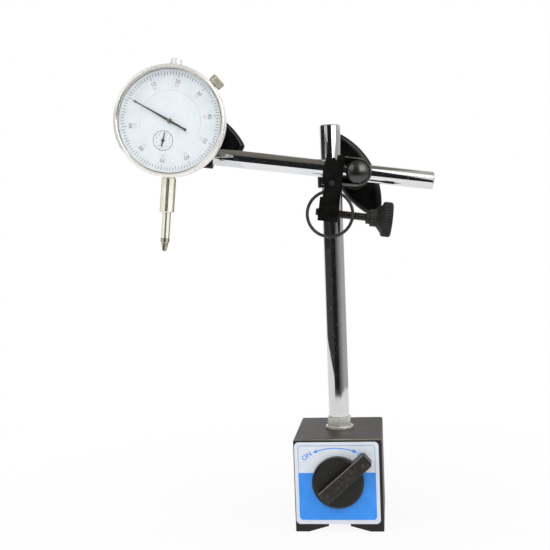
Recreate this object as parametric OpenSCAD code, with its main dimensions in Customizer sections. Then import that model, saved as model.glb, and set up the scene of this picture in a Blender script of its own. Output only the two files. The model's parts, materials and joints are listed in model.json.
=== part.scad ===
// Magnetic stand with a dial indicator: a switchable magnet block, a column,
// a cross clamp with a pinch knob and ring, an arm, a second clamp and a dial gauge.
// The origin is under the middle of the magnet block, X to the right, Y away, Z up.

/* [Magnet block] */
// Width of the block
base_w = 50; // [44:1:60]
// Depth of the block
base_d = 60; // [54:1:70]
// Height of the block
base_h = 53; // [48:1:60]
// Radius of the block's upright edges
base_edge = 1; // [0.5:0.1:1.5]
// Radius of the block's top edges
base_top_edge = 1.6; // [1:0.2:2.4]
// Width of the non-magnetic strip between the two poles
spacer_w = 6; // [4:0.5:8]
// Width of the V groove at the sole
groove_w = 35; // [30:1:38]
// Angle between the groove's flanks and the sole
groove_angle = 15.6; // [12:0.2:18]
// Width of the relief slot in the middle of the groove
slot_w = 12.4; // [10:0.2:14]
// Depth of the relief slot above the sole
slot_h = 6; // [5:0.2:7]
// Diameter of the bore for the rotor
rotor_bore = 30; // [26:0.5:32]
// Thickness of the discs that close the bore
bore_disc_t = 4; // [3:0.5:6]
// Thickness of the magnet between the rotor's two iron segments
magnet_t = 11; // [9.5:0.5:14]
// Diameter of the rotor's shaft
shaft_d = 8; // [6:0.5:9]

/* [Front plate and switch] */
// Margin of the block beside the printed front plate
label_side = 1.2; // [1:0.1:4]
// Margin of the front plate below the rounding of the block's top edge
label_top = 0.1; // [0.1:0.1:2]
// Shift of the front plate to the left
label_shift = 0.6; // [0:0.1:0.8]
// Height of the plate's lower edge above the sole
label_z = 4.5; // [4:0.1:5]
// Thickness of the front plate
label_t = 0.6; // [0.4:0.1:1]
// Radius of the plate's corners
label_corner = 2.5; // [1:0.5:4]
// Diameter of the switch's round body
switch_d = 29; // [24:0.5:32]
// Thickness of the switch's round body
switch_t = 5; // [4:0.5:7]
// Width of the switch's lever bar
lever_w = 8; // [6:0.5:10]
// Height of the lever bar above the round body
lever_t = 7; // [5:0.5:9]
// Distance from the switch's axis to the tip of the lever
lever_reach = 23; // [20:0.5:26]
// Angle of the lever above the horizontal at OFF
lever_angle = 41; // [30:1:60]

/* [Column] */
// Diameter of the column
column_d = 12; // [10:0.5:14]
// Height of the column's top above the block
column_l = 178; // [170:1:220]
// Diameter of the stud that screws into the block
stud_d = 8; // [6:1:8]
// Length of the stud inside the block
stud_l = 8; // [6:0.5:9]
// Width across the flats of the lock nut
nut_af = 13.2; // [12:0.2:14]
// Height of the lock nut
nut_h = 5.6; // [5:0.2:7]
// Diameter of the washer under the nut
washer_d = 16.4; // [15:0.2:18]
// Thickness of the washer
washer_t = 1.6; // [1:0.2:2]

/* [Cross clamp] */
// Turn of the clamp and the arm about the column
clamp_turn = 4.4; // [-20:0.1:20]
// Height of the clamp bolt above the sole
clamp_z = 202.4; // [150:0.1:204]
// Distance from the column's axis to the clamp bolt
clamp_reach = 14.4; // [14:0.1:19]
// Thickness of the folded straps
strap_t = 2; // [1.5:0.1:2.4]
// Width of the folded straps along their rod
strap_w = 15; // [13:0.5:16]
// Diameter of the clamp bolts' shanks
bolt_d = 6; // [5:0.5:6]
// Diameter of the barrel that holds the arm
barrel_d = 13.2; // [12.8:0.2:14]
// Wall of a barrel behind its cross hole
barrel_wall = 1.6; // [1.4:0.1:2.4]
// Length of the barrel's straight part in front of the arm
barrel_front = 2; // [1.6:0.1:3]
// Height of the barrel's domed end
dome_h = 3; // [2:0.2:4]
// Play between the barrel and the stirrup round it
stirrup_play = 0.45; // [0.3:0.05:0.6]
// Wall of the stirrup round the barrel
stirrup_t = 0.9; // [0.7:0.1:1.6]

/* [Pinch bracket, screw and ring] */
// Width of the bracket along the arm
bracket_w = 11.3; // [11:0.1:13.5]
// Top of the bracket's ears above the arm's axis
bracket_top = 8; // [7.5:0.1:10]
// Depth of the gap between the tops of the ears
ear_gap_h = 3; // [2:0.2:4]
// Length of the bracket below the arm's axis
bracket_drop = 29.5; // [28:0.1:33]
// Thickness of one ear
ear_t = 4.2; // [3:0.1:4.8]
// Thickness of the web in front of the ears
web_t = 5.4; // [5:0.1:6]
// Distance from the arm's axis to the web's front
web_reach = 9; // [8.6:0.1:10]
// Distance of the pinch screw below the arm's axis
pinch_drop = 24.7; // [22:0.1:26]
// Diameter of the pinch screw
pinch_d = 4.8; // [4:0.2:5]
// Start of the pinch knob's collar along the arm
knob_start = 8; // [7:0.2:10]
// Diameter of the pinch knob's knurled rim
knob_d = 19.9; // [16:0.1:21]
// Width of the knurled rim
knob_w = 5.6; // [5:0.1:9]
// Number of flutes round the knurled rim
knob_flutes = 36; // [24:1:44]
// Mean radius of the wire ring
ring_r = 12.8; // [11.8:0.1:14]
// Diameter of the ring's wire
ring_wire = 1.8; // [1.2:0.1:2]
// Shift of the ring along the arm from the middle of the bracket
ring_shift = 1; // [0:0.1:1]

/* [Wing knobs] */
// Half length of a wing knob
wing_r = 24.2; // [20:0.2:26]
// Half width of a wing knob across its middle
wing_half = 10.9; // [9:0.1:13]
// Radius of a wing knob's curved long edges
wing_bow = 43.4; // [34:0.2:50]
// Thickness of the wing
wing_t = 9; // [7:0.5:11]
// Rounding of the wing's edges
wing_edge = 2.4; // [1:0.2:3]
// Diameter of the wing knob's hub
hub_d = 15; // [13:0.5:17]
// Length of the hub in front of the wing
hub_l = 2.4; // [1:0.2:4]
// Turn of the column clamp's wing knob
wing_angle_column = 27; // [0:1:180]
// Turn of the dial clamp's wing knob
wing_angle_dial = 58; // [0:1:180]

/* [Arm] */
// Diameter of the arm
arm_d = 10; // [9:0.2:10]
// Length of the arm
arm_l = 165; // [150:1:180]
// Length of the arm to the right of the clamp bolt
arm_right = 43.3; // [34:0.1:60]
// Slope of the arm, down to the right
arm_slope = 8.5; // [0:0.1:15]

/* [Dial clamp] */
// Distance along the arm from the clamp bolt to the dial clamp
dial_u = 89.5; // [70:0.5:100]
// Distance from the arm's axis to the dial clamp's bolt
dial_reach = 15; // [15:0.1:18]
// Diameter of the stud through the dial's lug
lug_stud_d = 6; // [5:0.2:6]
// Radius of the ball end of the dial clamp's bolt
ball_r = 5.4; // [5:0.1:6.5]
// Distance along the lug stud from the dial clamp's bolt to the dial's axis
lug_x = 14.1; // [13.5:0.1:18]

/* [Dial indicator] */
// Tilt of the dial, its top to the right
dial_slope = 6.2; // [0:0.1:12]
// Wall of the bezel round the case
bezel_wall = 1.9; // [1.6:0.1:3]
// Width of the bezel's lip over the crystal
bezel_lip = 0.9; // [0.7:0.1:1.5]
// Length of the bezel from front to back
bezel_l = 9.5; // [8.5:0.1:11]
// Outside radius of the gauge's case
case_r = 27.8; // [26:0.1:30]
// Wall of the case
case_wall = 2.4; // [2:0.1:3]
// Depth of the case without its back
case_l = 13; // [12.8:0.1:16]
// Thickness of the back cover
back_t = 2; // [1.6:0.1:2.4]
// Width of the lug on the back
lug_w = 6; // [5:0.5:7]
// Diameter of the stem
stem_d = 8; // [7.8:0.1:8.2]
// Length of the stem below the case
stem_l = 21; // [16:0.2:26]
// Diameter of the stem's neck, from the case to below the bezel
stem_neck_d = 7; // [6.6:0.1:7.4]
// Diameter of the spindle
spindle_d = 4.7; // [4.4:0.1:4.8]
// Length of the spindle below the stem, at rest
spindle_out = 14; // [11:0.2:20]
// Length of the contact point
contact_l = 7.3; // [5:0.1:9]
// Diameter of the dust cap on top of the case
cap_d = 6.4; // [6.2:0.1:7]
// Height of the dust cap
cap_h = 5.6; // [5:0.1:9]
// Travel of the spindle
spindle_travel = 10; // [8:0.5:10]
// Radius of the fixed middle of the face
face_r = 17; // [16.8:0.1:18]
// Distance between the two hands' axes
train_distance = 11; // [10.5:0.1:11.5]
// Direction of the small hand's axis, clockwise from the top
small_angle = 196.8; // [193:0.1:199]
// Direction of the large hand, clockwise from the top
hand_angle = 295.7; // [0:0.1:360]
// Length of the large hand
hand_l = 22.5; // [20:0.1:24]
// Direction of the bezel's locking screw, clockwise from the top
lock_angle = 44; // [40:1:60]

/* [Hidden] */
$fn = 64;

// Running fit on a radius, and the clearance between pieces that only pass each other
slip = 0.05;
gap = 0.3;

// Metal left at the bottom of blind holes
stud_floor = 1;
wing_skin = 2;
cap_wall = 1;
case_floor = 1.4;

// Depth of the pinch knob's socket for its screw
knob_socket = 10;

// Places along Y, from the straps outwards
column_fit = column_d / 2 + slip;
strap_front = -column_fit - strap_t;
arm_fit = arm_d / 2 + slip;
arm_y = strap_front - gap - barrel_wall - arm_fit;
dial_strap_front = arm_y - arm_fit - strap_t;
ball_y = dial_strap_front - ball_r - slip;
back_y = ball_y - ball_r - gap;
case_back = back_y - back_t;
case_front = case_back - case_l;
stem_y = case_back - case_floor - stem_d / 2;
bezel_lap = 3;
bezel_front = case_front - bezel_l + bezel_lap;
base_front = -base_d / 2;
rotor_z = base_h - stud_l - stud_floor - rotor_bore / 2;
label_w = base_w - 2 * label_side;
label_h = base_h - label_z - base_top_edge - label_top;

// Moving frames
bolt_x = clamp_reach;
bracket_right = -barrel_d / 2 - stirrup_play - stirrup_t - slip;
bracket_left = bracket_right - bracket_w;
bracket_middle = bracket_right - bracket_w / 2;
bracket_back = arm_fit + barrel_wall - gap;

// The ring's wire bends inside its hole by ring_sag
ear_hole_v = -13.3;
ring_y = arm_y - web_reach + web_t / 2;
ring_sag = ring_r - sqrt(pow(ring_r, 2) - pow(bracket_w / 2 + ring_shift, 2));
ring_play = 0.45;
ring_hole_r = (ring_wire + ring_sag) / 2 + ring_play;

// The dial clamp's bolt and the dial's axis
dial_bolt_x = bolt_x - dial_u * cos(arm_slope) + dial_reach * sin(arm_slope);
dial_bolt_z = clamp_z + dial_u * sin(arm_slope) + dial_reach * cos(arm_slope);
dial_x = dial_bolt_x - lug_x * cos(dial_slope);
dial_z = dial_bolt_z + lug_x * sin(dial_slope);

// Gear train: the rack turns a 16 tooth pinion once in 10 mm, whose wheel turns the hand's pinion
rack_pitch = 0.625;
rack_teeth_pinion = 16;
wheel_teeth = 100;
pinion_teeth = 10;
gear_module = 2 * train_distance / (wheel_teeth + pinion_teeth);
rack_module = rack_pitch / PI;
rack_pinion_r = rack_module * rack_teeth_pinion / 2;
small_x = train_distance * sin(small_angle);
small_z = train_distance * cos(small_angle);

// Outline of the gauge
bezel_r = case_r + gap + bezel_wall;
window_r = case_r + gap - bezel_lip;
stem_end = case_r + stem_l;
spindle_end = stem_end + spindle_out;
boss_h = 1.2;
cap_foot = case_r + boss_h;
cap_top = cap_foot + cap_h;
lug_r = ball_r - gap + slip;
lug_nut_l = 4.6;
flange_t = 1.6;
flange_rim = 2;
flange_d = lug_stud_d + 2 * flange_rim;
back_screw_d = 2.1;
back_screw_l = 0.9;
back_screw_r = case_r - 4;
lock_d = 3;
lock_head_d = 8;
lock_head_l = 4.3;

// Levels of the dial's inside, from the back to the front
rack_pinion_l = 3;
wheel_behind = 2.2;
wheel_y = stem_y - spindle_d / 2 - wheel_behind;
wheel_t = 0.8;
plate_t = 1;
face_stand = 1.2;
face_y = case_front - face_stand;
face_t = 0.6;
hand_y = face_y - 1.3;
small_hand_y = face_y - 0.4;
hub_back = 0.3;
crystal_t = 1;
lip_t = 1.2;
crystal_y = bezel_front + lip_t;
arbor_d = 1.2;
rear_disc_y = base_d / 2 - bore_disc_t;
rotor_r = rotor_bore / 2 - gap;
rotor_l = base_d - 2 * bore_disc_t - 2 * gap;
switch_y = base_front - label_t - gap;
switch_socket = 2;

// What the column carries, turned about it
module clamped() {
    rotate([0, 0, clamp_turn]) children();
}

module arm_frame() {
    clamped() translate([bolt_x, arm_y, clamp_z]) rotate([0, arm_slope, 0]) children();
}

module dial_clamp_frame() {
    arm_frame() translate([-dial_u, 0, 0]) children();
}

module dial_frame() {
    clamped() translate([dial_x, 0, dial_z]) rotate([0, dial_slope, 0]) children();
}

// A cylinder along Y, between two places
module bar_y(d, from, to) {
    translate([0, max(from, to), 0]) rotate([90, 0, 0]) cylinder(d = d, h = abs(to - from));
}

// A cylinder along X, between two places
module bar_x(d, from, to) {
    translate([min(from, to), 0, 0]) rotate([0, 90, 0]) cylinder(d = d, h = abs(to - from));
}

// A profile in X and Z, extruded along Y between two places
module slab_y(from, to) {
    translate([0, max(from, to), 0]) rotate([90, 0, 0]) linear_extrude(abs(to - from)) children();
}

module rounded_square(w, h, r) {
    translate([-w / 2 + r, -h / 2]) square([w - 2 * r, h]);
    translate([-w / 2, -h / 2 + r]) square([w, h - 2 * r]);
    for (x = [-1, 1], y = [-1, 1])
        translate([x * (w / 2 - r), y * (h / 2 - r)]) circle(r);
}

// The block's side view, with its two top corners rounded
module rounded_top(w) {
    translate([-w / 2, 0]) square([w, base_h - base_top_edge]);
    translate([-w / 2 + base_top_edge, 0]) square([w - 2 * base_top_edge, base_h]);
    for (x = [-1, 1])
        translate([x * (w / 2 - base_top_edge), base_h - base_top_edge]) circle(base_top_edge);
}

// The magnet block's outside, with the groove in its sole
module block_outline() {
    groove_h = (groove_w - slot_w) / 2 * tan(groove_angle);
    difference() {
        intersection() {
            linear_extrude(base_h) rounded_square(base_w, base_d, base_edge);
            slab_y(-base_d / 2, base_d / 2) rounded_top(base_w);
            rotate([0, 0, 90]) slab_y(-base_w / 2, base_w / 2) rounded_top(base_d);
        }
        slab_y(-base_d, base_d) polygon([
            [-groove_w / 2, 0], [-slot_w / 2, groove_h],
            [-slot_w / 2, slot_h], [slot_w / 2, slot_h],
            [slot_w / 2, groove_h], [groove_w / 2, 0]
        ]);
    }
}

// The holes in the block for the rotor and for the column's stud
module block_holes() {
    translate([0, 0, rotor_z]) bar_y(rotor_bore, -base_d, base_d);
    translate([0, 0, base_h - stud_l - gap]) cylinder(d = stud_d + 2 * slip, h = base_h);
}

module pole(side) {
    color("#2b2b2d") difference() {
        intersection() {
            block_outline();
            translate([side > 0 ? spacer_w / 2 : -base_w, -base_d, -1])
                cube([base_w - spacer_w / 2, 2 * base_d, base_h + 2]);
        }
        block_holes();
    }
}

module left_pole() { pole(-1); }

module right_pole() { pole(1); }

module pole_spacers() {
    color("#2b2b2d") difference() {
        intersection() {
            block_outline();
            translate([-spacer_w / 2, -base_d, -1]) cube([spacer_w, 2 * base_d, base_h + 2]);
        }
        block_holes();
    }
}

module bore_disc(from, to) {
    translate([0, 0, rotor_z]) difference() {
        bar_y(rotor_bore, from, to);
        bar_y(shaft_d + 2 * slip, -base_d, base_d);
    }
}

module front_bush() {
    color("#b3924c") bore_disc(base_front, base_front + bore_disc_t);
}

module rear_cap() {
    color("#2b2b2d") translate([0, 0, rotor_z]) difference() {
        bar_y(rotor_bore, rear_disc_y, rear_disc_y + bore_disc_t);
        bar_y(shaft_d + 2 * slip, rear_disc_y - 1, rear_disc_y + bore_disc_t - cap_wall);
    }
}

module rotor_cylinder() {
    bar_y(2 * rotor_r, -rotor_l / 2, rotor_l / 2);
}

module at_switch() {
    translate([0, 0, rotor_z]) rotate([0, -lever_angle, 0]) children();
}

module rotor_segments() {
    color("#6d6f72") at_switch() difference() {
        rotor_cylinder();
        cube([2 * rotor_bore, 2 * base_d, magnet_t], center = true);
    }
}

module magnet() {
    color("#3a3a3c") at_switch() difference() {
        intersection() {
            rotor_cylinder();
            cube([2 * rotor_bore, 2 * base_d, magnet_t], center = true);
        }
        bar_y(shaft_d, -base_d, base_d);
    }
}

module rotor_shaft() {
    color("#9a9c9f") at_switch()
        bar_y(shaft_d, switch_y - switch_t - switch_socket, rear_disc_y + bore_disc_t - cap_wall - gap);
}

module switch_knob() {
    lever_y = switch_y - switch_t;
    chamfer = 1.2;
    tail_set_back = 3;
    lever_tail = switch_d / 2 - tail_set_back;
    lever_edge = 0.5;
    lever_front = lever_y - lever_t;
    tip_r = lever_w / 4;
    color("#1b1b1c") at_switch() difference() {
        union() {
            translate([0, switch_y, 0]) rotate([90, 0, 0]) rotate_extrude() polygon([
                [0, 0], [switch_d / 2, 0], [switch_d / 2, switch_t - chamfer],
                [switch_d / 2 - chamfer, switch_t], [0, switch_t]
            ]);
            intersection() {
                slab_y(lever_y + 1, lever_front) union() {
                    intersection() {
                        circle(lever_tail);
                        translate([-lever_tail, -lever_w / 2]) square([lever_tail, lever_w]);
                    }
                    translate([0, -lever_w / 2]) square([lever_reach - tip_r, lever_w]);
                    translate([lever_reach - tip_r, -lever_w / 2 + tip_r])
                        square([tip_r, lever_w - 2 * tip_r]);
                    for (side = [-1, 1])
                        translate([lever_reach - tip_r, side * (lever_w / 2 - tip_r)]) circle(tip_r);
                }
                // The bar's two front edges are chamfered
                rotate([0, 90, 0]) translate([0, 0, -switch_d]) linear_extrude(3 * switch_d) polygon([
                    [-lever_w / 2, lever_y + 1], [lever_w / 2, lever_y + 1],
                    [lever_w / 2, lever_front + lever_edge], [lever_w / 2 - lever_edge, lever_front],
                    [-lever_w / 2 + lever_edge, lever_front], [-lever_w / 2, lever_front + lever_edge]
                ]);
            }
        }
        bar_y(shaft_d, base_front, switch_y - switch_t - switch_socket);
    }
}

module front_plate() {
    color("#f2f4f6") difference() {
        translate([-label_shift, 0, label_z + label_h / 2]) slab_y(base_front, base_front - label_t)
            rounded_square(label_w, label_h, label_corner);
        translate([0, 0, rotor_z]) bar_y(shaft_d + 2 * gap, -base_d, base_d);
    }
}

module column() {
    foot = base_h + washer_t + nut_h;
    chamfer = 0.6;
    color("#c9ccd0") rotate_extrude() polygon([
        [0, base_h - stud_l], [stud_d / 2, base_h - stud_l], [stud_d / 2, foot],
        [column_d / 2, foot], [column_d / 2, base_h + column_l - chamfer],
        [column_d / 2 - chamfer, base_h + column_l], [0, base_h + column_l]
    ]);
}

module foot_nut() {
    corner = nut_af / sqrt(3);
    color("#c9ccd0") translate([0, 0, base_h + washer_t]) difference() {
        intersection() {
            rotate(30) cylinder(r = corner, h = nut_h, $fn = 6);
            rotate_extrude() polygon([
                [0, 0], [corner, 0], [corner, nut_h - (corner - nut_af / 2)],
                [nut_af / 2, nut_h], [0, nut_h]
            ]);
        }
        translate([0, 0, -1]) cylinder(d = stud_d + 2 * slip, h = nut_h + 2);
    }
}

module foot_washer() {
    color("#c9ccd0") translate([0, 0, base_h]) difference() {
        cylinder(d = washer_d, h = washer_t);
        translate([0, 0, -1]) cylinder(d = stud_d + 2 * slip, h = washer_t + 2);
    }
}

// A strap folded round a rod along Z, whose leaves meet a bolt along Y at the given reach
module folded_strap(rod_d, reach) {
    inner = rod_d / 2 + slip;
    outer = inner + strap_t;
    difference() {
        intersection() {
            translate([0, 0, -strap_w / 2]) linear_extrude(strap_w) difference() {
                union() {
                    circle(outer);
                    translate([0, -outer]) square([reach + strap_w, 2 * outer]);
                }
                circle(inner);
                translate([0, -inner]) square([reach + 2 * strap_w, 2 * inner]);
            }
            slab_y(-2 * outer, 2 * outer) union() {
                translate([-2 * outer, -strap_w / 2]) square([2 * outer + reach, strap_w]);
                translate([reach, 0]) circle(strap_w / 2);
            }
        }
        translate([reach, 0, 0]) bar_y(bolt_d + 2 * slip, -3 * outer, 3 * outer);
    }
}

module column_strap() {
    color("#1e1e20") clamped() translate([0, 0, clamp_z]) folded_strap(column_d, clamp_reach);
}

// The bolt whose barrel holds the arm in a cross hole
module swivel_bolt() {
    barrel_back = strap_front - gap - arm_y;
    dome_start = -arm_fit - barrel_front;
    dome_r = (pow(barrel_d / 2, 2) + pow(dome_h, 2)) / (2 * dome_h);
    color("#232325") arm_frame() difference() {
        union() {
            translate([0, barrel_back, 0]) rotate([90, 0, 0]) rotate_extrude() {
                square([barrel_d / 2, barrel_back - dome_start]);
                translate([0, barrel_back - dome_start]) intersection() {
                    square([barrel_d / 2, dome_h]);
                    translate([0, dome_h - dome_r]) circle(dome_r);
                }
            }
            bar_y(bolt_d, barrel_back - 1, -arm_y - strap_front + hub_l + wing_t - wing_skin);
        }
        bar_x(2 * arm_fit, -barrel_d, barrel_d);
    }
}

// The U strap round the barrel, which ties it to the pinch bracket
module stirrup() {
    inner = barrel_d / 2 + stirrup_play;
    outer = inner + stirrup_t;
    color("#55565a") arm_frame() difference() {
        slab_y(-arm_fit - barrel_front, bracket_back) difference() {
            union() {
                circle(outer);
                translate([bracket_right, -outer]) square([-bracket_right, 2 * outer]);
            }
            circle(inner);
            translate([2 * bracket_right, -inner]) square([-2 * bracket_right, 2 * inner]);
        }
        bar_x(2 * arm_fit + 2 * gap, 0, 2 * barrel_d);
    }
}

// Two ears across the arm joined by a web in front; the screw draws them together on the arm
module pinch_bracket() {
    ear_gap_left = bracket_left + ear_t;
    ear_gap_right = bracket_right - ear_t;
    top_slope = 1.2;
    notch_d = 1.6;
    notch_top = ear_hole_v + ring_hole_r + 2;
    notch_foot = ear_hole_v - ring_hole_r - 0.5;
    color("#161617") arm_frame() difference() {
        slab_y(-web_reach, bracket_back) polygon([
            [bracket_left + top_slope, bracket_top], [bracket_right, bracket_top],
            [bracket_right, -bracket_drop], [bracket_left, -bracket_drop],
            [bracket_left, notch_foot], [bracket_left + notch_d, notch_foot],
            [bracket_left + notch_d, notch_top], [bracket_left, notch_top], [bracket_left, 0]
        ]);
        translate([ear_gap_left, -web_reach + web_t, -2 * bracket_drop])
            cube([ear_gap_right - ear_gap_left, 4 * web_reach, 3 * bracket_drop]);
        translate([ear_gap_left, -2 * web_reach, bracket_top - ear_gap_h])
            cube([ear_gap_right - ear_gap_left, 4 * web_reach, bracket_top]);
        bar_x(2 * arm_fit, 2 * bracket_left, 0);
        translate([0, 0, -pinch_drop]) bar_x(pinch_d + 2 * slip, 2 * bracket_left, 0);
        translate([0, ring_y - arm_y, ear_hole_v]) bar_x(2 * ring_hole_r, 2 * bracket_left, 0);
    }
}

module bracket_rivet() {
    head_d = 3.4;
    head_h = 1;
    head_r = 2;
    below_arm = 8;
    color("#4a4a4d") arm_frame() translate([bracket_middle, -web_reach, -below_arm]) intersection() {
        bar_y(head_d, -head_h, 0);
        translate([0, head_r - head_h, 0]) sphere(head_r);
    }
}

module spring_ring() {
    middle_v = ear_hole_v + ring_sag / 2 - ring_r;
    color("#1a1a1b") arm_frame() translate([bracket_middle + ring_shift, ring_y - arm_y, middle_v])
        rotate([90, 0, 0]) rotate_extrude() translate([ring_r, 0]) circle(d = ring_wire, $fn = 24);
}

module at_pinch_screw() {
    arm_frame() translate([0, 0, -pinch_drop]) children();
}

module pinch_screw() {
    tail = 1.5;
    color("#3b3836") at_pinch_screw() bar_x(pinch_d, bracket_left - tail, knob_start + knob_socket);
}

// Collars, a flare and a fluted rim, turned about the screw
module pinch_knob() {
    collar_d = pinch_d + 2.6;
    neck_d = collar_d + 2.4;
    collar_l = 2.4;
    neck_l = 3.6;
    flare_l = 3;
    rim_step = 1.4;
    rim_chamfer = 0.8;
    flute_r = PI * knob_d / knob_flutes * 0.28;
    rim = collar_l + neck_l + flare_l;
    color("#1b1b1c") at_pinch_screw() translate([knob_start, 0, 0]) rotate([0, 90, 0]) difference() {
        union() {
            rotate_extrude() polygon([
                [0, 0], [collar_d / 2, 0], [collar_d / 2, collar_l], [neck_d / 2, collar_l],
                [neck_d / 2, collar_l + neck_l], [knob_d / 2 - rim_step, rim],
                [knob_d / 2 - rim_step, rim + knob_w / 2], [0, rim + knob_w / 2]
            ]);
            translate([0, 0, rim]) intersection() {
                linear_extrude(knob_w) difference() {
                    circle(d = knob_d);
                    for (i = [0 : knob_flutes - 1])
                        rotate(360 / knob_flutes * i) translate([knob_d / 2, 0]) circle(flute_r, $fn = 16);
                }
                rotate_extrude() polygon([
                    [0, 0], [knob_d / 2 - rim_chamfer, 0], [knob_d / 2, rim_chamfer],
                    [knob_d / 2, knob_w - rim_chamfer], [knob_d / 2 - rim_chamfer, knob_w], [0, knob_w]
                ]);
            }
        }
        translate([0, 0, -1]) cylinder(d = pinch_d, h = knob_socket + 1);
    }
}

// A disc with rounded rims, standing on Z = 0
module coin(r, h, edge) {
    rotate_extrude() union() {
        square([r - edge, h]);
        translate([0, edge]) square([r, h - 2 * edge]);
        translate([r - edge, edge]) circle(edge, $fn = 32);
        translate([r - edge, h - edge]) circle(edge, $fn = 32);
    }
}

// A two-winged knob about Y, whose hub starts at Y = 0
module wing_knob(turn) {
    bow_x = wing_bow - wing_half;
    rotate([0, turn, 0]) difference() {
        union() {
            bar_y(hub_d, 0, hub_l + wing_t);
            translate([0, hub_l + wing_t, 0]) rotate([90, 0, 0]) intersection() {
                coin(wing_r, wing_t, wing_edge);
                translate([bow_x, 0, 0]) coin(wing_bow, wing_t, wing_edge);
                translate([-bow_x, 0, 0]) coin(wing_bow, wing_t, wing_edge);
            }
        }
        bar_y(bolt_d + 2 * slip, -1, hub_l + wing_t - wing_skin);
    }
}

module column_wing() {
    color("#141415") clamped() translate([bolt_x, -strap_front + gap, clamp_z]) wing_knob(-wing_angle_column);
}

module arm() {
    chamfer = 0.6;
    color("#c9ccd0") arm_frame() translate([arm_right - arm_l, 0, 0]) rotate([0, 90, 0])
        rotate_extrude() polygon([
            [0, 0], [arm_d / 2 - chamfer, 0], [arm_d / 2, chamfer], [arm_d / 2, arm_l - chamfer],
            [arm_d / 2 - chamfer, arm_l], [0, arm_l]
        ]);
}

module dial_strap() {
    color("#1e1e20") dial_clamp_frame() rotate([0, -90, 0]) folded_strap(arm_d, dial_reach);
}

module dial_bolt() {
    shank_end = arm_y + arm_fit + strap_t + hub_l + wing_t - wing_skin;
    color("#232325") clamped() translate([dial_bolt_x, 0, dial_bolt_z]) rotate([0, dial_slope, 0])
        difference() {
            union() {
                translate([0, ball_y, 0]) sphere(ball_r);
                bar_y(2 * ball_r, ball_y, dial_strap_front - slip);
                bar_y(bolt_d, ball_y, shank_end);
            }
            translate([0, ball_y, 0]) bar_x(lug_stud_d + 2 * slip, -2 * ball_r, 2 * ball_r);
        }
}

module dial_wing() {
    color("#141415") clamped() translate([dial_bolt_x, arm_y + arm_fit + strap_t + gap, dial_bolt_z])
        wing_knob(-wing_angle_dial);
}

// The stud through the lug, with the flange that the nut draws the lug against
module lug_stud() {
    end_l = 1.4;
    nut_side = lug_w / 2 + lug_nut_l + end_l;
    ball_side = lug_x + ball_r + end_l;
    color("#9a9c9f") dial_frame() translate([0, ball_y, 0]) {
        bar_x(lug_stud_d, -nut_side, ball_side);
        bar_x(flange_d, lug_w / 2, lug_w / 2 + flange_t);
    }
}

module lug_nut() {
    color("#9a9c9f") dial_frame() translate([-lug_w / 2, ball_y, 0]) difference() {
        translate([-lug_nut_l, 0, 0]) rotate([0, 90, 0]) cylinder(d = flange_d, h = lug_nut_l, $fn = 6);
        bar_x(lug_stud_d, -2 * lug_nut_l, 1);
    }
}

// The places of the four screws in the back
module at_back_screws() {
    for (a = [45 : 90 : 315]) rotate([0, a, 0]) translate([back_screw_r, 0, 0]) children();
}

module back_cover() {
    step = 1;
    color("#b9bbbd") dial_frame() difference() {
        union() {
            bar_y(2 * (case_r - step), case_back, back_y);
            translate([-lug_w / 2, 0, 0]) rotate([90, 0, 90]) linear_extrude(lug_w) union() {
                translate([ball_y, 0]) circle(lug_r);
                translate([back_y - back_t / 2, -lug_r]) square([ball_y - back_y + back_t / 2, 2 * lug_r]);
            }
        }
        translate([0, ball_y, 0]) bar_x(lug_stud_d, -2 * lug_w, 2 * lug_w);
        at_back_screws() bar_y(back_screw_d + 2 * slip, case_back - 1, back_y + 1);
    }
}

module back_screws() {
    head_d = 3.6;
    head_h = 0.8;
    color("#9a9c9f") dial_frame() at_back_screws() {
        bar_y(back_screw_d, back_y, case_back - back_screw_l);
        bar_y(head_d, back_y, back_y + head_h);
    }
}

module at_lock_screw() {
    rotate([0, lock_angle - 90, 0]) translate([0, stem_y, 0]) children();
}

module dial_case() {
    color("#c4c6c8") dial_frame() difference() {
        bar_y(2 * case_r, case_back, case_front);
        bar_y(2 * (case_r - case_wall), case_back - case_floor, case_front - 1);
        translate([0, stem_y, 0]) cylinder(d = stem_neck_d, h = 3 * case_r, center = true);
        at_back_screws() bar_y(back_screw_d + 2 * slip, case_back + 1, case_back - back_screw_l - slip);
        at_lock_screw() bar_x(lock_d + 2 * slip, case_r / 2, 2 * case_r);
        translate([small_x, 0, small_z]) bar_y(arbor_d + 2 * slip, case_back - case_floor / 2, case_front);
    }
}

// The stem below the bezel, its neck in the case, and the boss above that guides the spindle's top
module stem() {
    bore_r = spindle_d / 2 + slip;
    top = stem_l + case_wall;
    shoulder = stem_end - bezel_r - gap;
    chamfer = 0.5;
    color("#c4c6c8") dial_frame() translate([0, stem_y, 0]) {
        translate([0, 0, -stem_end]) rotate_extrude() polygon([
            [bore_r, 0], [stem_d / 2 - chamfer, 0], [stem_d / 2, chamfer], [stem_d / 2, shoulder],
            [stem_neck_d / 2, shoulder], [stem_neck_d / 2, top], [bore_r, top]
        ]);
        translate([0, 0, case_r - case_wall]) difference() {
            cylinder(d = stem_neck_d, h = case_wall + boss_h);
            translate([0, 0, -1]) cylinder(r = bore_r, h = case_wall + boss_h + 2);
        }
    }
}

module dust_cap() {
    chamfer = 0.8;
    room = cap_top - cap_wall - cap_foot;
    color("#d8dadb") dial_frame() translate([0, stem_y, 0]) difference() {
        rotate_extrude() polygon([
            [0, cap_foot], [cap_d / 2, cap_foot], [cap_d / 2, cap_top - chamfer],
            [cap_d / 2 - chamfer, cap_top], [0, cap_top]
        ]);
        translate([0, 0, cap_foot - 1]) cylinder(d = spindle_d + 2 * gap, h = room + 1);
    }
}

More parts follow.
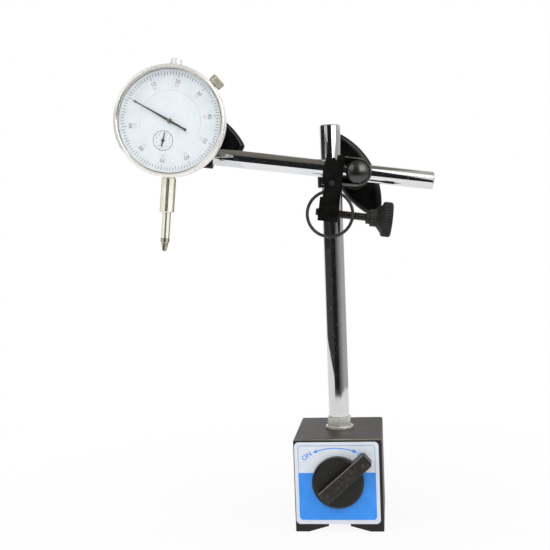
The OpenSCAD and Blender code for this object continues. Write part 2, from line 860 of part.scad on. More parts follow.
// The spindle carries a rack on its left flank, for the 16 tooth pinion
module spindle() {
    rack_line = small_x + rack_pinion_r;
    rack_more = 8;
    cut_above = 4;
    cut_below = 2;
    teeth_above = 4;
    teeth = ceil((spindle_travel + rack_more) / rack_pitch);
    tooth = rack_module * 0.95;
    spindle_top = cap_top - cap_wall - gap - spindle_travel;
    cut_l = teeth * rack_pitch + cut_above + cut_below;
    color("#b8babc") dial_frame() translate([0, stem_y, 0]) difference() {
        translate([0, 0, -spindle_end]) cylinder(d = spindle_d, h = spindle_end + spindle_top);
        difference() {
            translate([-spindle_d, -spindle_d, small_z - cut_l + cut_above])
                cube([spindle_d + rack_line + rack_module * 1.4, 2 * spindle_d, cut_l]);
            for (i = [-teeth : teeth_above]) translate([rack_line, 0, small_z + i * rack_pitch])
                rotate([90, 0, 0]) translate([0, 0, -spindle_d]) linear_extrude(2 * spindle_d) polygon([
                    [rack_module * 2, -tooth], [-rack_module * 0.8, -tooth * 0.4],
                    [-rack_module * 0.8, tooth * 0.4], [rack_module * 2, tooth]
                ]);
        }
    }
}

module contact_point() {
    shoulder_r = spindle_d / 2 + 0.1;
    neck_r = 2;
    tip_r = 1.3;
    tip_edge = 0.6;
    color("#8f8672") dial_frame() translate([0, stem_y, -spindle_end]) rotate_extrude() polygon([
        [0, 0], [shoulder_r, 0], [shoulder_r, -contact_l * 0.3], [neck_r, -contact_l * 0.36],
        [tip_r, -contact_l + tip_edge], [tip_r - tip_edge, -contact_l], [0, -contact_l]
    ]);
}

module bezel() {
    inner = case_r + gap;
    front_edge = 1.4;
    back_edge = 0.8;
    lip_edge = 0.5;
    color("#d2d4d6") dial_frame() translate([0, bezel_front, 0]) rotate([-90, 0, 0])
        rotate_extrude() polygon([
            [window_r, lip_edge], [window_r + lip_edge, 0], [bezel_r - front_edge, 0], [bezel_r, front_edge],
            [bezel_r, bezel_l - back_edge], [bezel_r - back_edge, bezel_l],
            [inner, bezel_l], [inner, lip_t], [window_r, lip_t]
        ]);
}

module crystal() {
    color("#e8f1f5", 0.35) dial_frame() bar_y(2 * case_r, crystal_y, crystal_y + crystal_t);
}

module scale_ring() {
    color("#f4f6f7") dial_frame() difference() {
        bar_y(2 * case_r, face_y, face_y + face_t);
        bar_y(2 * face_r + 2 * gap, face_y - 1, face_y + face_t + 1);
    }
}

// The two arbors' holes in the plates
module arbor_holes() {
    for (at = [[0, 0], [small_x, small_z]])
        translate([at[0], 0, at[1]]) bar_y(arbor_d + 2 * slip, case_back, 2 * case_front);
}

module face_plate() {
    color("#f4f6f7") dial_frame() difference() {
        bar_y(2 * face_r, face_y, case_front);
        arbor_holes();
    }
}

module movement_plate() {
    color("#b3924c") dial_frame() difference() {
        bar_y(2 * (case_r - case_wall), case_front, case_front + plate_t);
        arbor_holes();
    }
}

// A hand in the X Z plane, pointing up, with a counterweight behind its hub
module hand(length, tail, width) {
    polygon([
        [-width / 2, -tail], [-width / 2, 0], [-width * 0.12, length],
        [width * 0.12, length], [width / 2, 0], [width / 2, -tail]
    ]);
}

module large_hand() {
    tail = 9.4;
    blade_t = 0.3;
    blade_w = 0.9;
    weight_r = 0.75;
    hub = 2.8;
    color("#151515") dial_frame() rotate([0, hand_angle, 0]) {
        slab_y(hand_y, hand_y - blade_t) union() {
            hand(hand_l, tail, blade_w);
            translate([0, -tail]) circle(weight_r);
        }
        bar_y(hub, hand_y + hub_back, hand_y - 2 * blade_t);
    }
}

// A toothed wheel in X and Z, with a tooth at the top
module gear_outline(teeth, mod) {
    root = mod * (teeth / 2 - 1.25);
    tip = mod * (teeth / 2 + 0.9);
    foot_half = mod * 0.62;
    tip_half = mod * 0.22;
    tooth = [[-foot_half, root], [-tip_half, tip], [tip_half, tip], [foot_half, root]];
    polygon([
        for (i = [0 : teeth - 1], k = tooth)
            let (a = 360 / teeth * i) [k[0] * cos(a) + k[1] * sin(a), k[1] * cos(a) - k[0] * sin(a)]
    ]);
}

module centre_pinion() {
    overhang = 0.2;
    color("#c2a869") dial_frame() rotate([0, small_angle, 0]) {
        slab_y(wheel_y + overhang, wheel_y - wheel_t - overhang) gear_outline(pinion_teeth, gear_module);
        bar_y(arbor_d, wheel_y + 3 * overhang, hand_y + hub_back);
    }
}

module small_hand() {
    blade_l = 4.4;
    blade_tail = 2;
    blade_w = 0.5;
    blade_t = 0.25;
    hub = 1.8;
    rest_angle = 5;
    color("#151515") dial_frame() translate([small_x, 0, small_z]) rotate([0, rest_angle, 0]) {
        slab_y(small_hand_y, small_hand_y - blade_t) hand(blade_l, blade_tail, blade_w);
        bar_y(hub, small_hand_y, small_hand_y - 1.4 * blade_t);
    }
}

module gear_arbor() {
    half_tooth = 180 / wheel_teeth;
    color("#c2a869") dial_frame() translate([small_x, 0, small_z]) {
        rotate([0, small_angle + 180 + half_tooth, 0])
            slab_y(wheel_y, wheel_y - wheel_t) gear_outline(wheel_teeth, gear_module);
        translate([0, stem_y, 0]) rotate([0, 90 + 180 / rack_teeth_pinion, 0])
            slab_y(-rack_pinion_l / 2, rack_pinion_l / 2) gear_outline(rack_teeth_pinion, rack_module);
        bar_y(arbor_d, case_back - case_floor / 2 - slip, small_hand_y);
    }
}

module lock_screw() {
    head_clear = 0.4;
    head_at = bezel_r + head_clear;
    flutes = 24;
    flute_r = 0.3;
    edge = 0.5;
    r = lock_head_d / 2;
    color("#c9c7b8") dial_frame() at_lock_screw() {
        bar_x(lock_d, case_r - case_wall, head_at + lock_head_l / 2);
        translate([head_at, 0, 0]) rotate([0, 90, 0]) intersection() {
            linear_extrude(lock_head_l) difference() {
                circle(r);
                for (i = [0 : flutes - 1])
                    rotate(360 / flutes * i) translate([r, 0]) circle(flute_r, $fn = 16);
            }
            rotate_extrude() polygon([
                [0, 0], [r - edge, 0], [r, edge], [r, lock_head_l - edge], [r - edge, lock_head_l],
                [0, lock_head_l]
            ]);
        }
    }
}

left_pole();
right_pole();
pole_spacers();
front_bush();
rear_cap();
rotor_segments();
magnet();
rotor_shaft();
switch_knob();
front_plate();
column();
foot_nut();
foot_washer();
column_strap();
swivel_bolt();
stirrup();
pinch_bracket();
bracket_rivet();
spring_ring();
pinch_screw();
pinch_knob();
column_wing();
arm();
dial_strap();
dial_bolt();
dial_wing();
lug_stud();
lug_nut();
back_cover();
back_screws();
dial_case();
stem();
dust_cap();
spindle();
contact_point();
bezel();
crystal();
scale_ring();
face_plate();
movement_plate();
large_hand();
centre_pinion();
small_hand();
gear_arbor();
lock_screw();
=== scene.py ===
"""Finishes, printed marks, threads and a studio for a magnetic stand with a dial gauge."""

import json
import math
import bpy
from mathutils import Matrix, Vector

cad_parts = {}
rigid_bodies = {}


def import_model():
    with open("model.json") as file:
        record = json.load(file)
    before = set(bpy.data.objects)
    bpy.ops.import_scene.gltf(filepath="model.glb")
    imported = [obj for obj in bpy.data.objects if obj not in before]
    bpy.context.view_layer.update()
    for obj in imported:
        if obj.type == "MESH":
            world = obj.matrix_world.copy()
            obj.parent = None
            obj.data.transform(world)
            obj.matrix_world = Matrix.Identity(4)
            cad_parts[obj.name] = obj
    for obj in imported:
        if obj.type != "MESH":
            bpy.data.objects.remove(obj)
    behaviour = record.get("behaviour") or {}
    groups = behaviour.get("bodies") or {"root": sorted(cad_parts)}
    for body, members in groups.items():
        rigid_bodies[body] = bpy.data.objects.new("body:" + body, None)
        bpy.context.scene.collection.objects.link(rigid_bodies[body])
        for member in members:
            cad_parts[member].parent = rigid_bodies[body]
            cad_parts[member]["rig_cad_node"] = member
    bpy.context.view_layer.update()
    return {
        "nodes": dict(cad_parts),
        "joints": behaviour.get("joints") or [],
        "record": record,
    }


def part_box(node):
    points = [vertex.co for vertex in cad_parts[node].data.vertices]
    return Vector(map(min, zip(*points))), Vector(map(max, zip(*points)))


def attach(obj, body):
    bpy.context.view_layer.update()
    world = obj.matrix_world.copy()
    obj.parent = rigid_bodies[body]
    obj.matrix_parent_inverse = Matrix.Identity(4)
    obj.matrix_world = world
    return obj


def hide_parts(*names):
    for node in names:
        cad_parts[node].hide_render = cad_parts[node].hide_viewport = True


bl_info = {
    "name": "Magnetic dial indicator stand",
    "version": (1, 0, 0),
    "blender": (4, 5, 0),
    "location": "View3D > Sidebar > Stand",
    "description": "Dresses a magnet block, column, cross arm and dial gauge, and lights them",
    "category": "Object",
}

import bpy
from mathutils import Color, Matrix, Vector

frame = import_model()

JOINTS = {joint["name"]: joint for joint in frame["joints"]}
NODES = frame["nodes"]
BODIES = {
    node: body
    for body, members in frame["record"]["behaviour"]["bodies"].items()
    for node in members
}
MM = 0.001

# The camera that the photograph was taken with, from its fitted place, turn and lens
PHOTO_SIZE = 550
CAMERA_AT = Vector((33.6, -566.4, 178.2)) * MM
CAMERA_YAW = math.radians(-6.93)
CAMERA_PITCH = math.radians(3.37)
CAMERA_ROLL = math.radians(2.12)
CAMERA_FOCAL_PX = 965.8
SENSOR = 36.0

# Points nearer than these are one point, in a copy of a node and in a piece modelled here
WELD_COPY = 1e-6
WELD = 1e-7
# Faces that meet at less than the first angle are one face, and at more than the second have a sharp edge
FLAT = math.radians(0.4)
SHARP = math.radians(30)
# Radius to which the end of a solid turning is drawn in
PINHOLE = 0.05 * MM
# Steps in the quarter turn of a rounded corner
CORNER_STEPS = 6
# Figures round a dial
FIGURES = 10


# Selection and placing

def only(*objects):
    """Leaves just these objects selected, in object mode, the first of them active."""
    active = bpy.context.view_layer.objects.active
    if active is not None and active.mode != "OBJECT":
        bpy.ops.object.mode_set(mode="OBJECT")
    bpy.ops.object.select_all(action="DESELECT")
    for obj in objects:
        obj.select_set(True)
    bpy.context.view_layer.objects.active = objects[0] if objects else None


def made(name):
    """The object that an operator has just made, under its name."""
    piece = bpy.context.view_layer.objects.active
    piece.name = name
    return piece


def edit(obj):
    """Opens a piece in edit mode with all of it selected."""
    only(obj)
    bpy.ops.object.mode_set(mode="EDIT")
    bpy.ops.mesh.select_mode(type="VERT")
    bpy.ops.mesh.select_all(action="SELECT")


def done(weld=0.0, outward=False):
    """Leaves edit mode, after welding near points or turning the faces outwards where that is asked."""
    bpy.ops.mesh.select_all(action="SELECT")
    if weld:
        bpy.ops.mesh.remove_doubles(threshold=weld)
    if outward:
        bpy.ops.mesh.normals_make_consistent(inside=False)
    bpy.ops.object.mode_set(mode="OBJECT")


def plane(right, up, origin):
    """A frame whose X is right, whose Y is up and whose Z faces out of the surface."""
    right = Vector(right).normalized()
    up = Vector(up).normalized()
    axes = Matrix((right, up, right.cross(up))).transposed().to_4x4()
    return Matrix.Translation(origin) @ axes


def settle(piece, place):
    """Moves a piece that was modelled at the origin to its place, and leaves its object at the origin."""
    only(piece)
    piece.matrix_world = place
    bpy.ops.object.transform_apply(location=True, rotation=True, scale=True)
    return piece


def smooth(piece, angle=35):
    only(piece)
    bpy.ops.object.shade_smooth_by_angle(angle=math.radians(angle))


def apply_modifiers(piece):
    only(piece)
    for modifier in list(piece.modifiers):
        bpy.ops.object.modifier_apply(modifier=modifier.name)


def cover(piece, material):
    piece.data.materials.clear()
    piece.data.materials.append(material)


def coat(material, *nodes):
    """Gives nodes that keep their own shape a finish."""
    for node in nodes:
        cover(NODES[node], material)


def dress(piece, material, node, replaces=False):
    """Gives a piece its finish and the body of a node, which it may also stand for."""
    cover(piece, material)
    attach(piece, BODIES[node])
    if replaces:
        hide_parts(node)


# Modelling

def mm(*lengths):
    """Lengths in millimetres, turned to the scene's metres."""
    return tuple(length * MM for length in lengths)


def merged_copy(node, name):
    """A copy of a node with its triangles joined and its flat faces made whole."""
    only(NODES[node])
    bpy.ops.object.duplicate()
    piece = made(name)
    piece.parent = None
    del piece["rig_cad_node"]
    edit(piece)
    bpy.ops.mesh.remove_doubles(threshold=WELD_COPY)
    bpy.ops.mesh.dissolve_limited(angle_limit=FLAT)
    done()
    return piece


def softened(node, name, width, keep=None, segments=2):
    """A copy of a node with its sharp edges rounded, apart from those whose middle keep turns down."""
    piece = merged_copy(node, name)
    edit(piece)
    bpy.ops.mesh.select_mode(type="EDGE")
    bpy.ops.mesh.select_all(action="DESELECT")
    bpy.ops.mesh.edges_select_sharp(sharpness=SHARP)
    if keep:
        bpy.ops.object.mode_set(mode="OBJECT")
        points = piece.data.vertices
        for edge in piece.data.edges:
            a, b = (points[i].co for i in edge.vertices)
            edge.select = edge.select and keep((a + b) / 2)
        bpy.ops.object.mode_set(mode="EDIT")
    bpy.ops.mesh.bevel(offset=width, segments=segments, affect="EDGES", clamp_overlap=True)
    done()
    smooth(piece)
    flat = piece.modifiers.new("Flat faces", "WEIGHTED_NORMAL")
    flat.keep_sharp = True
    apply_modifiers(piece)
    return piece


def rounded(node, suffix, width, material, keep=None, segments=2):
    """Puts a copy with rounded edges, in its finish, in the place of a node."""
    piece = softened(node, f"{node}_{suffix}", width, keep, segments)
    dress(piece, material, node, replaces=True)


def moulded(node, name, grain, rounds, growth):
    """A copy of a node remade in an even net, smoothed till every corner is round, then grown a little."""
    piece = merged_copy(node, name)
    net = piece.modifiers.new("Net", "REMESH")
    net.mode = "VOXEL"
    net.voxel_size = grain
    ease = piece.modifiers.new("Ease", "SMOOTH")
    ease.factor = 0.5
    ease.iterations = rounds
    apply_modifiers(piece)
    smooth(piece, angle=180)
    low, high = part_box(node)
    middle = Matrix.Translation((low + high) / 2)
    return settle(piece, middle @ Matrix.Scale(growth, 4) @ middle.inverted())


def turned(name, profile, segments=128):
    """A piece turned about Z from (radius, height) points, as a lathe would cut it."""
    radius, height = profile[0]
    only()
    bpy.ops.mesh.primitive_circle_add(vertices=segments, radius=radius, location=(0, 0, height))
    piece = made(name)
    bpy.ops.object.transform_apply(location=True)
    edit(piece)
    for next_radius, next_height in profile[1:]:
        bpy.ops.mesh.extrude_region_move(TRANSFORM_OT_translate={"value": (0, 0, next_height - height)})
        share = next_radius / radius
        bpy.ops.transform.resize(value=(share, share, 1), center_override=(0, 0, next_height))
        radius, height = next_radius, next_height
    bpy.ops.mesh.select_all(action="SELECT")
    bpy.ops.mesh.region_to_loop()
    if PINHOLE in (profile[0][0], profile[-1][0]):
        bpy.ops.mesh.fill_holes(sides=0)
    else:
        bpy.ops.mesh.bridge_edge_loops()
    done(WELD, outward=True)
    smooth(piece)
    return piece


def flat_print(name, outline, thick):
    """A closed outline in X and Y, as a film of ink or a thin plate from Z = 0 to its thickness."""
    only()
    bpy.ops.mesh.primitive_circle_add(vertices=len(outline), fill_type="NGON")
    piece = made(name)
    for vertex, (x, y) in zip(piece.data.vertices, outline):
        vertex.co = (x, y, 0)
    edit(piece)
    bpy.ops.mesh.extrude_region_move(TRANSFORM_OT_translate={"value": (0, 0, thick)})
    done(outward=True)
    return piece


def repeated_round(piece, count):
    """Copies what is in a mesh round the Z axis, a full turn."""
    edit(piece)
    bpy.ops.mesh.spin(steps=count, dupli=True, angle=math.tau, center=(0, 0, 0), axis=(0, 0, 1))
    done(WELD)
    return piece


def joined(name, pieces):
    only(*pieces)
    bpy.ops.object.join()
    return made(name)


def lettering(name, text, height, thick, at=(0, 0), turn=0.0, weight=0.0):
    """Plain figures or letters as a film of ink, made bolder by a weight, centred at a place and turned."""
    only()
    bpy.ops.object.text_add()
    words = made(name).data
    words.body = text
    words.size = height
    words.align_x = "CENTER"
    words.align_y = "CENTER"
    words.extrude = thick / 2
    words.offset = weight
    words.resolution_u = 3
    bpy.ops.object.convert(target="MESH")
    place = Matrix.Translation((*at, thick / 2)) @ Matrix.Rotation(turn, 4, "Z")
    return settle(bpy.context.view_layer.objects.active, place)


def polar(radius, angle, centre=(0, 0)):
    """The point at a radius and an angle round a centre."""
    return centre[0] + radius * math.cos(angle), centre[1] + radius * math.sin(angle)


def arc_points(radius, start, end, steps, centre=(0, 0)):
    """Points along an arc, by angles in degrees."""
    angles = [math.radians(start + (end - start) * i / steps) for i in range(steps + 1)]
    return [polar(radius, angle, centre) for angle in angles]


def rounded_outline(left, right, low, high, radii):
    """A rectangle's outline, with a radius for its low left, low right, high right and high left corner."""
    corners = (
        (left, low, 180, 1, 1),
        (right, low, 270, -1, 1),
        (right, high, 0, -1, -1),
        (left, high, 90, 1, -1),
    )
    outline = []
    for (x, y, start, dx, dy), radius in zip(corners, radii):
        outline += arc_points(radius, start, start + 90, CORNER_STEPS, (x + dx * radius, y + dy * radius))
    return outline


def bar_outline(start, end, half):
    """The outline of a tick that lies along X."""
    return [(start, -half), (end, -half), (end, half), (start, half)]


def ring_print(name, radius, width, thick, start=0, sweep=360, steps=128):
    """A ring, or part of one, as a film of ink, a width across its middle radius."""
    outer, inner = radius + width / 2, radius - width / 2
    if sweep < 360:
        outline = arc_points(outer, start, start + sweep, steps)
        outline += arc_points(inner, start + sweep, start, steps)
        return flat_print(name, outline, thick)
    profile = [(outer, 0), (outer, thick), (inner, thick), (inner, 0)]
    return turned(name, profile, segments=steps)


# Finishes

class Nodes:
    """The node tree of a material or a world, with short calls to add and join its nodes."""

    def __init__(self, owner):
        owner.use_nodes = True
        self.tree = owner.node_tree

    def node(self, kind, values=None, **settings):
        node = self.tree.nodes.new(kind)
        for key, value in settings.items():
            setattr(node, key, value)
        for key, value in (values or {}).items():
            node.inputs[key].default_value = value
        return node

    def join(self, source, target):
        self.tree.links.new(source, target)

    def combined(self, operation, first, second):
        """Two values put together by a math operation."""
        result = self.node("ShaderNodeMath", operation=operation)
        self.join(first, result.inputs[0])
        self.join(second, result.inputs[1])
        return result.outputs["Value"]

    def between(self, value, low, high, start=0.0, end=1.0):
        """Maps a value from the range start to end onto the range low to high."""
        ends = {"From Min": start, "From Max": end, "To Min": low, "To Max": high}
        ramp = self.node("ShaderNodeMapRange", ends)
        self.join(value, ramp.inputs["Value"])
        return ramp.outputs["Result"]

    def shows_background(self):
        """1 for rays that may see the background: those of the camera, and those of metal and glass."""
        path = self.node("ShaderNodeLightPath")
        shows = path.outputs["Is Camera Ray"]
        for name in ("Is Glossy Ray", "Is Transmission Ray"):
            shows = self.combined("MAXIMUM", shows, path.outputs[name])
        return shows

    def surface(self, shader):
        self.join(shader.outputs[0], self.tree.nodes["Material Output"].inputs["Surface"])


class Finish(Nodes):
    """A Principled material, with short calls for its patterns and for what they drive."""

    def __init__(self, name, colour, roughness=0.5, metallic=0.0, gloss=0.5):
        self.material = bpy.data.materials.new(name)
        super().__init__(self.material)
        self.shader = self.tree.nodes["Principled BSDF"]
        self.set("Base Color", (*linear(colour), 1))
        self.set("Roughness", roughness)
        self.set("Metallic", metallic)
        self.set("Specular IOR Level", gloss)

    def set(self, socket, value):
        self.shader.inputs[socket].default_value = value

    def drive(self, socket, value):
        self.join(value, self.shader.inputs[socket])

    def place(self, grain=(1, 1, 1), axis=(0, 0, 1)):
        """Object coordinates turned so that Z runs along an axis, counted in grains of three lengths."""
        turn = Vector(axis).to_track_quat("Z", "X").to_euler()
        coordinates = self.node("ShaderNodeTexCoord")
        mapping = self.node("ShaderNodeMapping", {"Scale": grain, "Rotation": turn}, vector_type="TEXTURE")
        self.join(coordinates.outputs["Object"], mapping.inputs["Vector"])
        return mapping.outputs["Vector"]

    def towards(self, direction):
        """How far the surface faces a direction: 1 straight at it, 0 edge on."""
        coordinates = self.node("ShaderNodeTexCoord")
        unit = Vector(direction).normalized()
        along = self.node("ShaderNodeVectorMath", {1: unit}, operation="DOT_PRODUCT")
        self.join(coordinates.outputs["Normal"], along.inputs[0])
        return along.outputs["Value"]

    def depth(self):
        """How far back a point lies from the front."""
        coordinates = self.node("ShaderNodeTexCoord")
        split = self.node("ShaderNodeSeparateXYZ")
        self.join(coordinates.outputs["Object"], split.inputs["Vector"])
        return split.outputs["Y"]

    def noise(self, scale, detail=3.0, rough=0.5, vector=None):
        """Noise with so many cells to the metre, or to the grain of a vector."""
        noise = self.node("ShaderNodeTexNoise", {"Scale": scale, "Detail": detail, "Roughness": rough})
        self.join(vector or self.place(), noise.inputs["Vector"])
        return noise.outputs["Fac"]

    def shades(self, value, *stops):
        """A colour ramp of (place, colour) stops."""
        ramp = self.node("ShaderNodeValToRGB")
        elements = ramp.color_ramp.elements
        while len(elements) < len(stops):
            elements.new(0.5)
        for element, (place, colour) in zip(elements, stops):
            element.position = place
            element.color = (*linear(colour), 1)
        self.join(value, ramp.inputs["Fac"])
        return ramp.outputs["Color"]

    def stain(self, pattern, stops, roughness):
        """Lets a pattern set the colour by its stops, and the roughness from low to high over a range."""
        self.drive("Base Color", self.shades(pattern, *stops))
        self.drive("Roughness", self.between(pattern, *roughness))

    def bump(self, height, distance, strength):
        bump = self.node("ShaderNodeBump", {"Strength": strength, "Distance": distance})
        self.join(height, bump.inputs["Height"])
        self.drive("Normal", bump.outputs["Normal"])


def linear(colour):
    """A colour as the eye reads it, turned to the scene's linear values."""
    return Color(tuple(colour)[:3]).from_srgb_to_scene_linear()[:]


def mixed(a, b, share):
    return tuple(x + (y - x) * share for x, y in zip(a, b))


def finish_black_paint(colour, dust):
    """Black paint on iron: a fine orange peel, paler where it faces up, partly from dust and partly as
    painted top light, and a painted highlight along its front edge.
    """
    paint = Finish("black_paint", colour, gloss=0.28)
    wear = paint.noise(55, detail=5.0, rough=0.65)
    # Paler where the surface faces up: partly dust, partly painted top light
    top_dust_and_painted_light = paint.between(paint.towards((0, 0, 1)), 0.0, 0.4)
    dust_and_painted_top_light = paint.combined("ADD", paint.between(wear, 0.0, 0.4), top_dust_and_painted_light)
    # A painted highlight on the front top edge, where the edges face forward and up
    rubbed = paint.between(paint.towards((0, -1, 1)), 0.0, 0.45, 0.88, 1.0)
    # The dust colour paints the dust, the painted top light and the painted edge highlight
    layers = (0.12, colour), (0.75, mixed(colour, dust, 0.42)), (1.0, dust)
    paint.drive("Base Color", paint.shades(paint.combined("ADD", dust_and_painted_top_light, rubbed), *layers))
    paint.drive("Roughness", paint.between(wear, 0.34, 0.54))
    paint.bump(paint.noise(900, detail=2.0), 0.05 * MM, 0.4)
    return paint.material


def finish_chrome(name, plating, dust, axis):
    """Bright chrome: hair lines along a rod, faint smudges, and a few specks that are dull or pitted."""
    chrome = Finish(name, plating, metallic=1.0)
    hair = chrome.noise(1.0, detail=2.0, vector=chrome.place(mm(0.7, 0.7, 60), axis))
    smudge = chrome.noise(45, detail=4.0, rough=0.6)
    specks = chrome.between(chrome.noise(520, detail=1.0), 0.0, 0.04, 0.68, 0.76)
    pits = chrome.noise(640, detail=3.0, rough=0.6)
    chrome.drive("Roughness", chrome.combined("ADD", chrome.between(smudge, 0.03, 0.08, 0.4, 0.8), specks))
    chrome.drive("Metallic", chrome.between(pits, 1.0, 0.93, 0.58, 0.74))
    chrome.drive("Base Color", chrome.shades(smudge, (0.45, plating), (0.8, mixed(plating, dust, 0.16))))
    chrome.bump(hair, 0.0004 * MM, 0.3)
    return chrome.material


def finish_satin(name, light, dull, roughness, metallic):
    """Satin plating on turned metal: soft reflections, with faint stains that dull it."""
    satin = Finish(name, light, metallic=metallic)
    stains = satin.noise(150, detail=4.0, rough=0.6)
    satin.stain(stains, ((0.35, light), (0.75, dull)), (roughness - 0.05, roughness + 0.07, 0.3, 0.7))
    return satin.material


def finish_blackened(colour, dust):
    """Blackened pressed steel, satin, with rubbed greyer patches."""
    steel = Finish("blackened_steel", colour, gloss=0.1)
    rub = steel.noise(160, detail=5.0, rough=0.6)
    steel.stain(rub, ((0.4, colour), (0.85, mixed(colour, dust, 0.14))), (0.3, 0.5))
    steel.bump(steel.noise(1400, detail=2.0), 0.03 * MM, 0.4)
    return steel.material


def finish_rubbed_steel(name, colour, dark):
    """Thinner blackening, through which the steel shows grey."""
    steel = Finish(name, colour, metallic=0.35)
    rub = steel.noise(240, detail=5.0, rough=0.65)
    steel.stain(rub, ((0.3, mixed(colour, dark, 0.5)), (0.6, colour)), (0.3, 0.5))
    return steel.material


def finish_moulded(name, colour, roughness, grain=1.0, gloss=0.4):
    """Moulded black plastic with a fine grain."""
    plastic = Finish(name, colour, gloss=gloss)
    patches = plastic.noise(90, detail=4.0)
    pale = mixed(colour, (0.4, 0.39, 0.37), 0.1)
    plastic.stain(patches, ((0.3, colour), (0.8, pale)), (roughness - 0.06, roughness + 0.08, 0.25, 0.75))
    plastic.bump(plastic.noise(2200, detail=2.0), 0.04 * MM * grain, 0.5)
    return plastic.material


def finish_handled(name, colour, worn, front):
    """Grained black plastic, scuffed in front of a depth, with a painted highlight along its upper left
    edge.
    """
    plastic = Finish(name, colour, gloss=0.28)
    patches = plastic.noise(170, detail=5.0, rough=0.6)
    # A painted highlight on the edges that face up and to the left
    edge = plastic.between(plastic.towards((-0.5, -0.65, 0.6)), 0.08, 1.0, 0.92, 0.98)
    scuffs = plastic.between(plastic.noise(520, detail=4.0, rough=0.6), 0.0, 0.72, 0.46, 0.72)
    reached = plastic.between(plastic.depth(), 0.7, 0.0, front - 0.5 * MM, front)
    # Scuffs and the painted edge highlight, only on the lever in front of the depth
    scuffs_and_highlight = plastic.combined("MULTIPLY", reached, plastic.combined("ADD", edge, scuffs))
    wear = plastic.combined("ADD", plastic.between(patches, 0.0, 0.3), scuffs_and_highlight)
    # The worn colour paints both the scuffs and the painted highlight
    layers = (0.1, colour), (0.55, mixed(colour, worn, 0.3)), (0.9, worn)
    plastic.drive("Base Color", plastic.shades(wear, *layers))
    plastic.drive("Roughness", plastic.between(patches, 0.3, 0.46, 0.25, 0.75))
    plastic.bump(plastic.noise(2200, detail=2.0), 0.06 * MM, 0.5)
    return plastic.material


def finish_print(name, colour, roughness):
    """Ink or enamel, a little uneven in its gloss and depth of colour."""
    ink = Finish(name, colour)
    paler, deeper = mixed(colour, (1, 1, 1), 0.04), mixed(colour, (0, 0, 0), 0.03)
    ink.stain(ink.noise(140), ((0.3, paler), (0.7, deeper)), (roughness - 0.06, roughness + 0.06))
    return ink.material


def finish_turned_metal(name, colour, warm, roughness):
    """Turned and plated metal, with fine tool rings seen as a slight unevenness."""
    metal = Finish(name, colour, metallic=1.0)
    rings = metal.noise(1.0, detail=2.0, vector=metal.place(mm(16, 16, 0.4)))
    stains = metal.noise(180, detail=4.0)
    metal.stain(stains, ((0.3, colour), (0.75, warm)), (roughness - 0.05, roughness + 0.08))
    metal.bump(rings, 0.006 * MM, 0.35)
    return metal.material


def finish_crystal():
    """The clear disc in front of the hands."""
    glass = Finish("crystal_clear", (0.97, 0.98, 1.0), roughness=0.03)
    glass.set("Alpha", 0.03)
    glass.set("IOR", 1.49)
    return glass.material


# Sizes and colours that a user would change

def size(name, description, default):
    """A length in millimetres."""
    return bpy.props.FloatProperty(
        name=name, description=description, default=default, min=0.0, soft_max=100.0)


def shade(name, description, default):
    return bpy.props.FloatVectorProperty(
        name=name, description=description, default=default,
        subtype="COLOR_GAMMA", size=3, min=0.0, max=1.0)


class StandSizes(bpy.types.PropertyGroup):
    """Sizes of the details that dress the stand, in millimetres"""
    block_edge: size("Block edge", "Rounding of the magnet block's sharp edges", 0.5)
    clamp_edge: size("Clamp edge", "Rounding of the clamps' pressed and milled edges", 0.35)
    ink: size("Ink", "Thickness of a printed film", 0.03)
    letter: size("Letters", "Height of ON and OFF", 3.9)
    figure: size("Figures", "Height of the black figures of the scale", 2.9)
    small_figure: size("Red figures", "Height of the red figures of the scale", 2.3)
    tick_outer: size("Tick end", "Radius at which the scale's ticks end", 26.4)
    tick: size("Tick", "Length of a tick", 1.7)
    tick_width: size("Tick width", "Width of a tick", 0.24)
    thread_pitch: size("Thread pitch", "Pitch of the pinch screw's thread", 0.8)


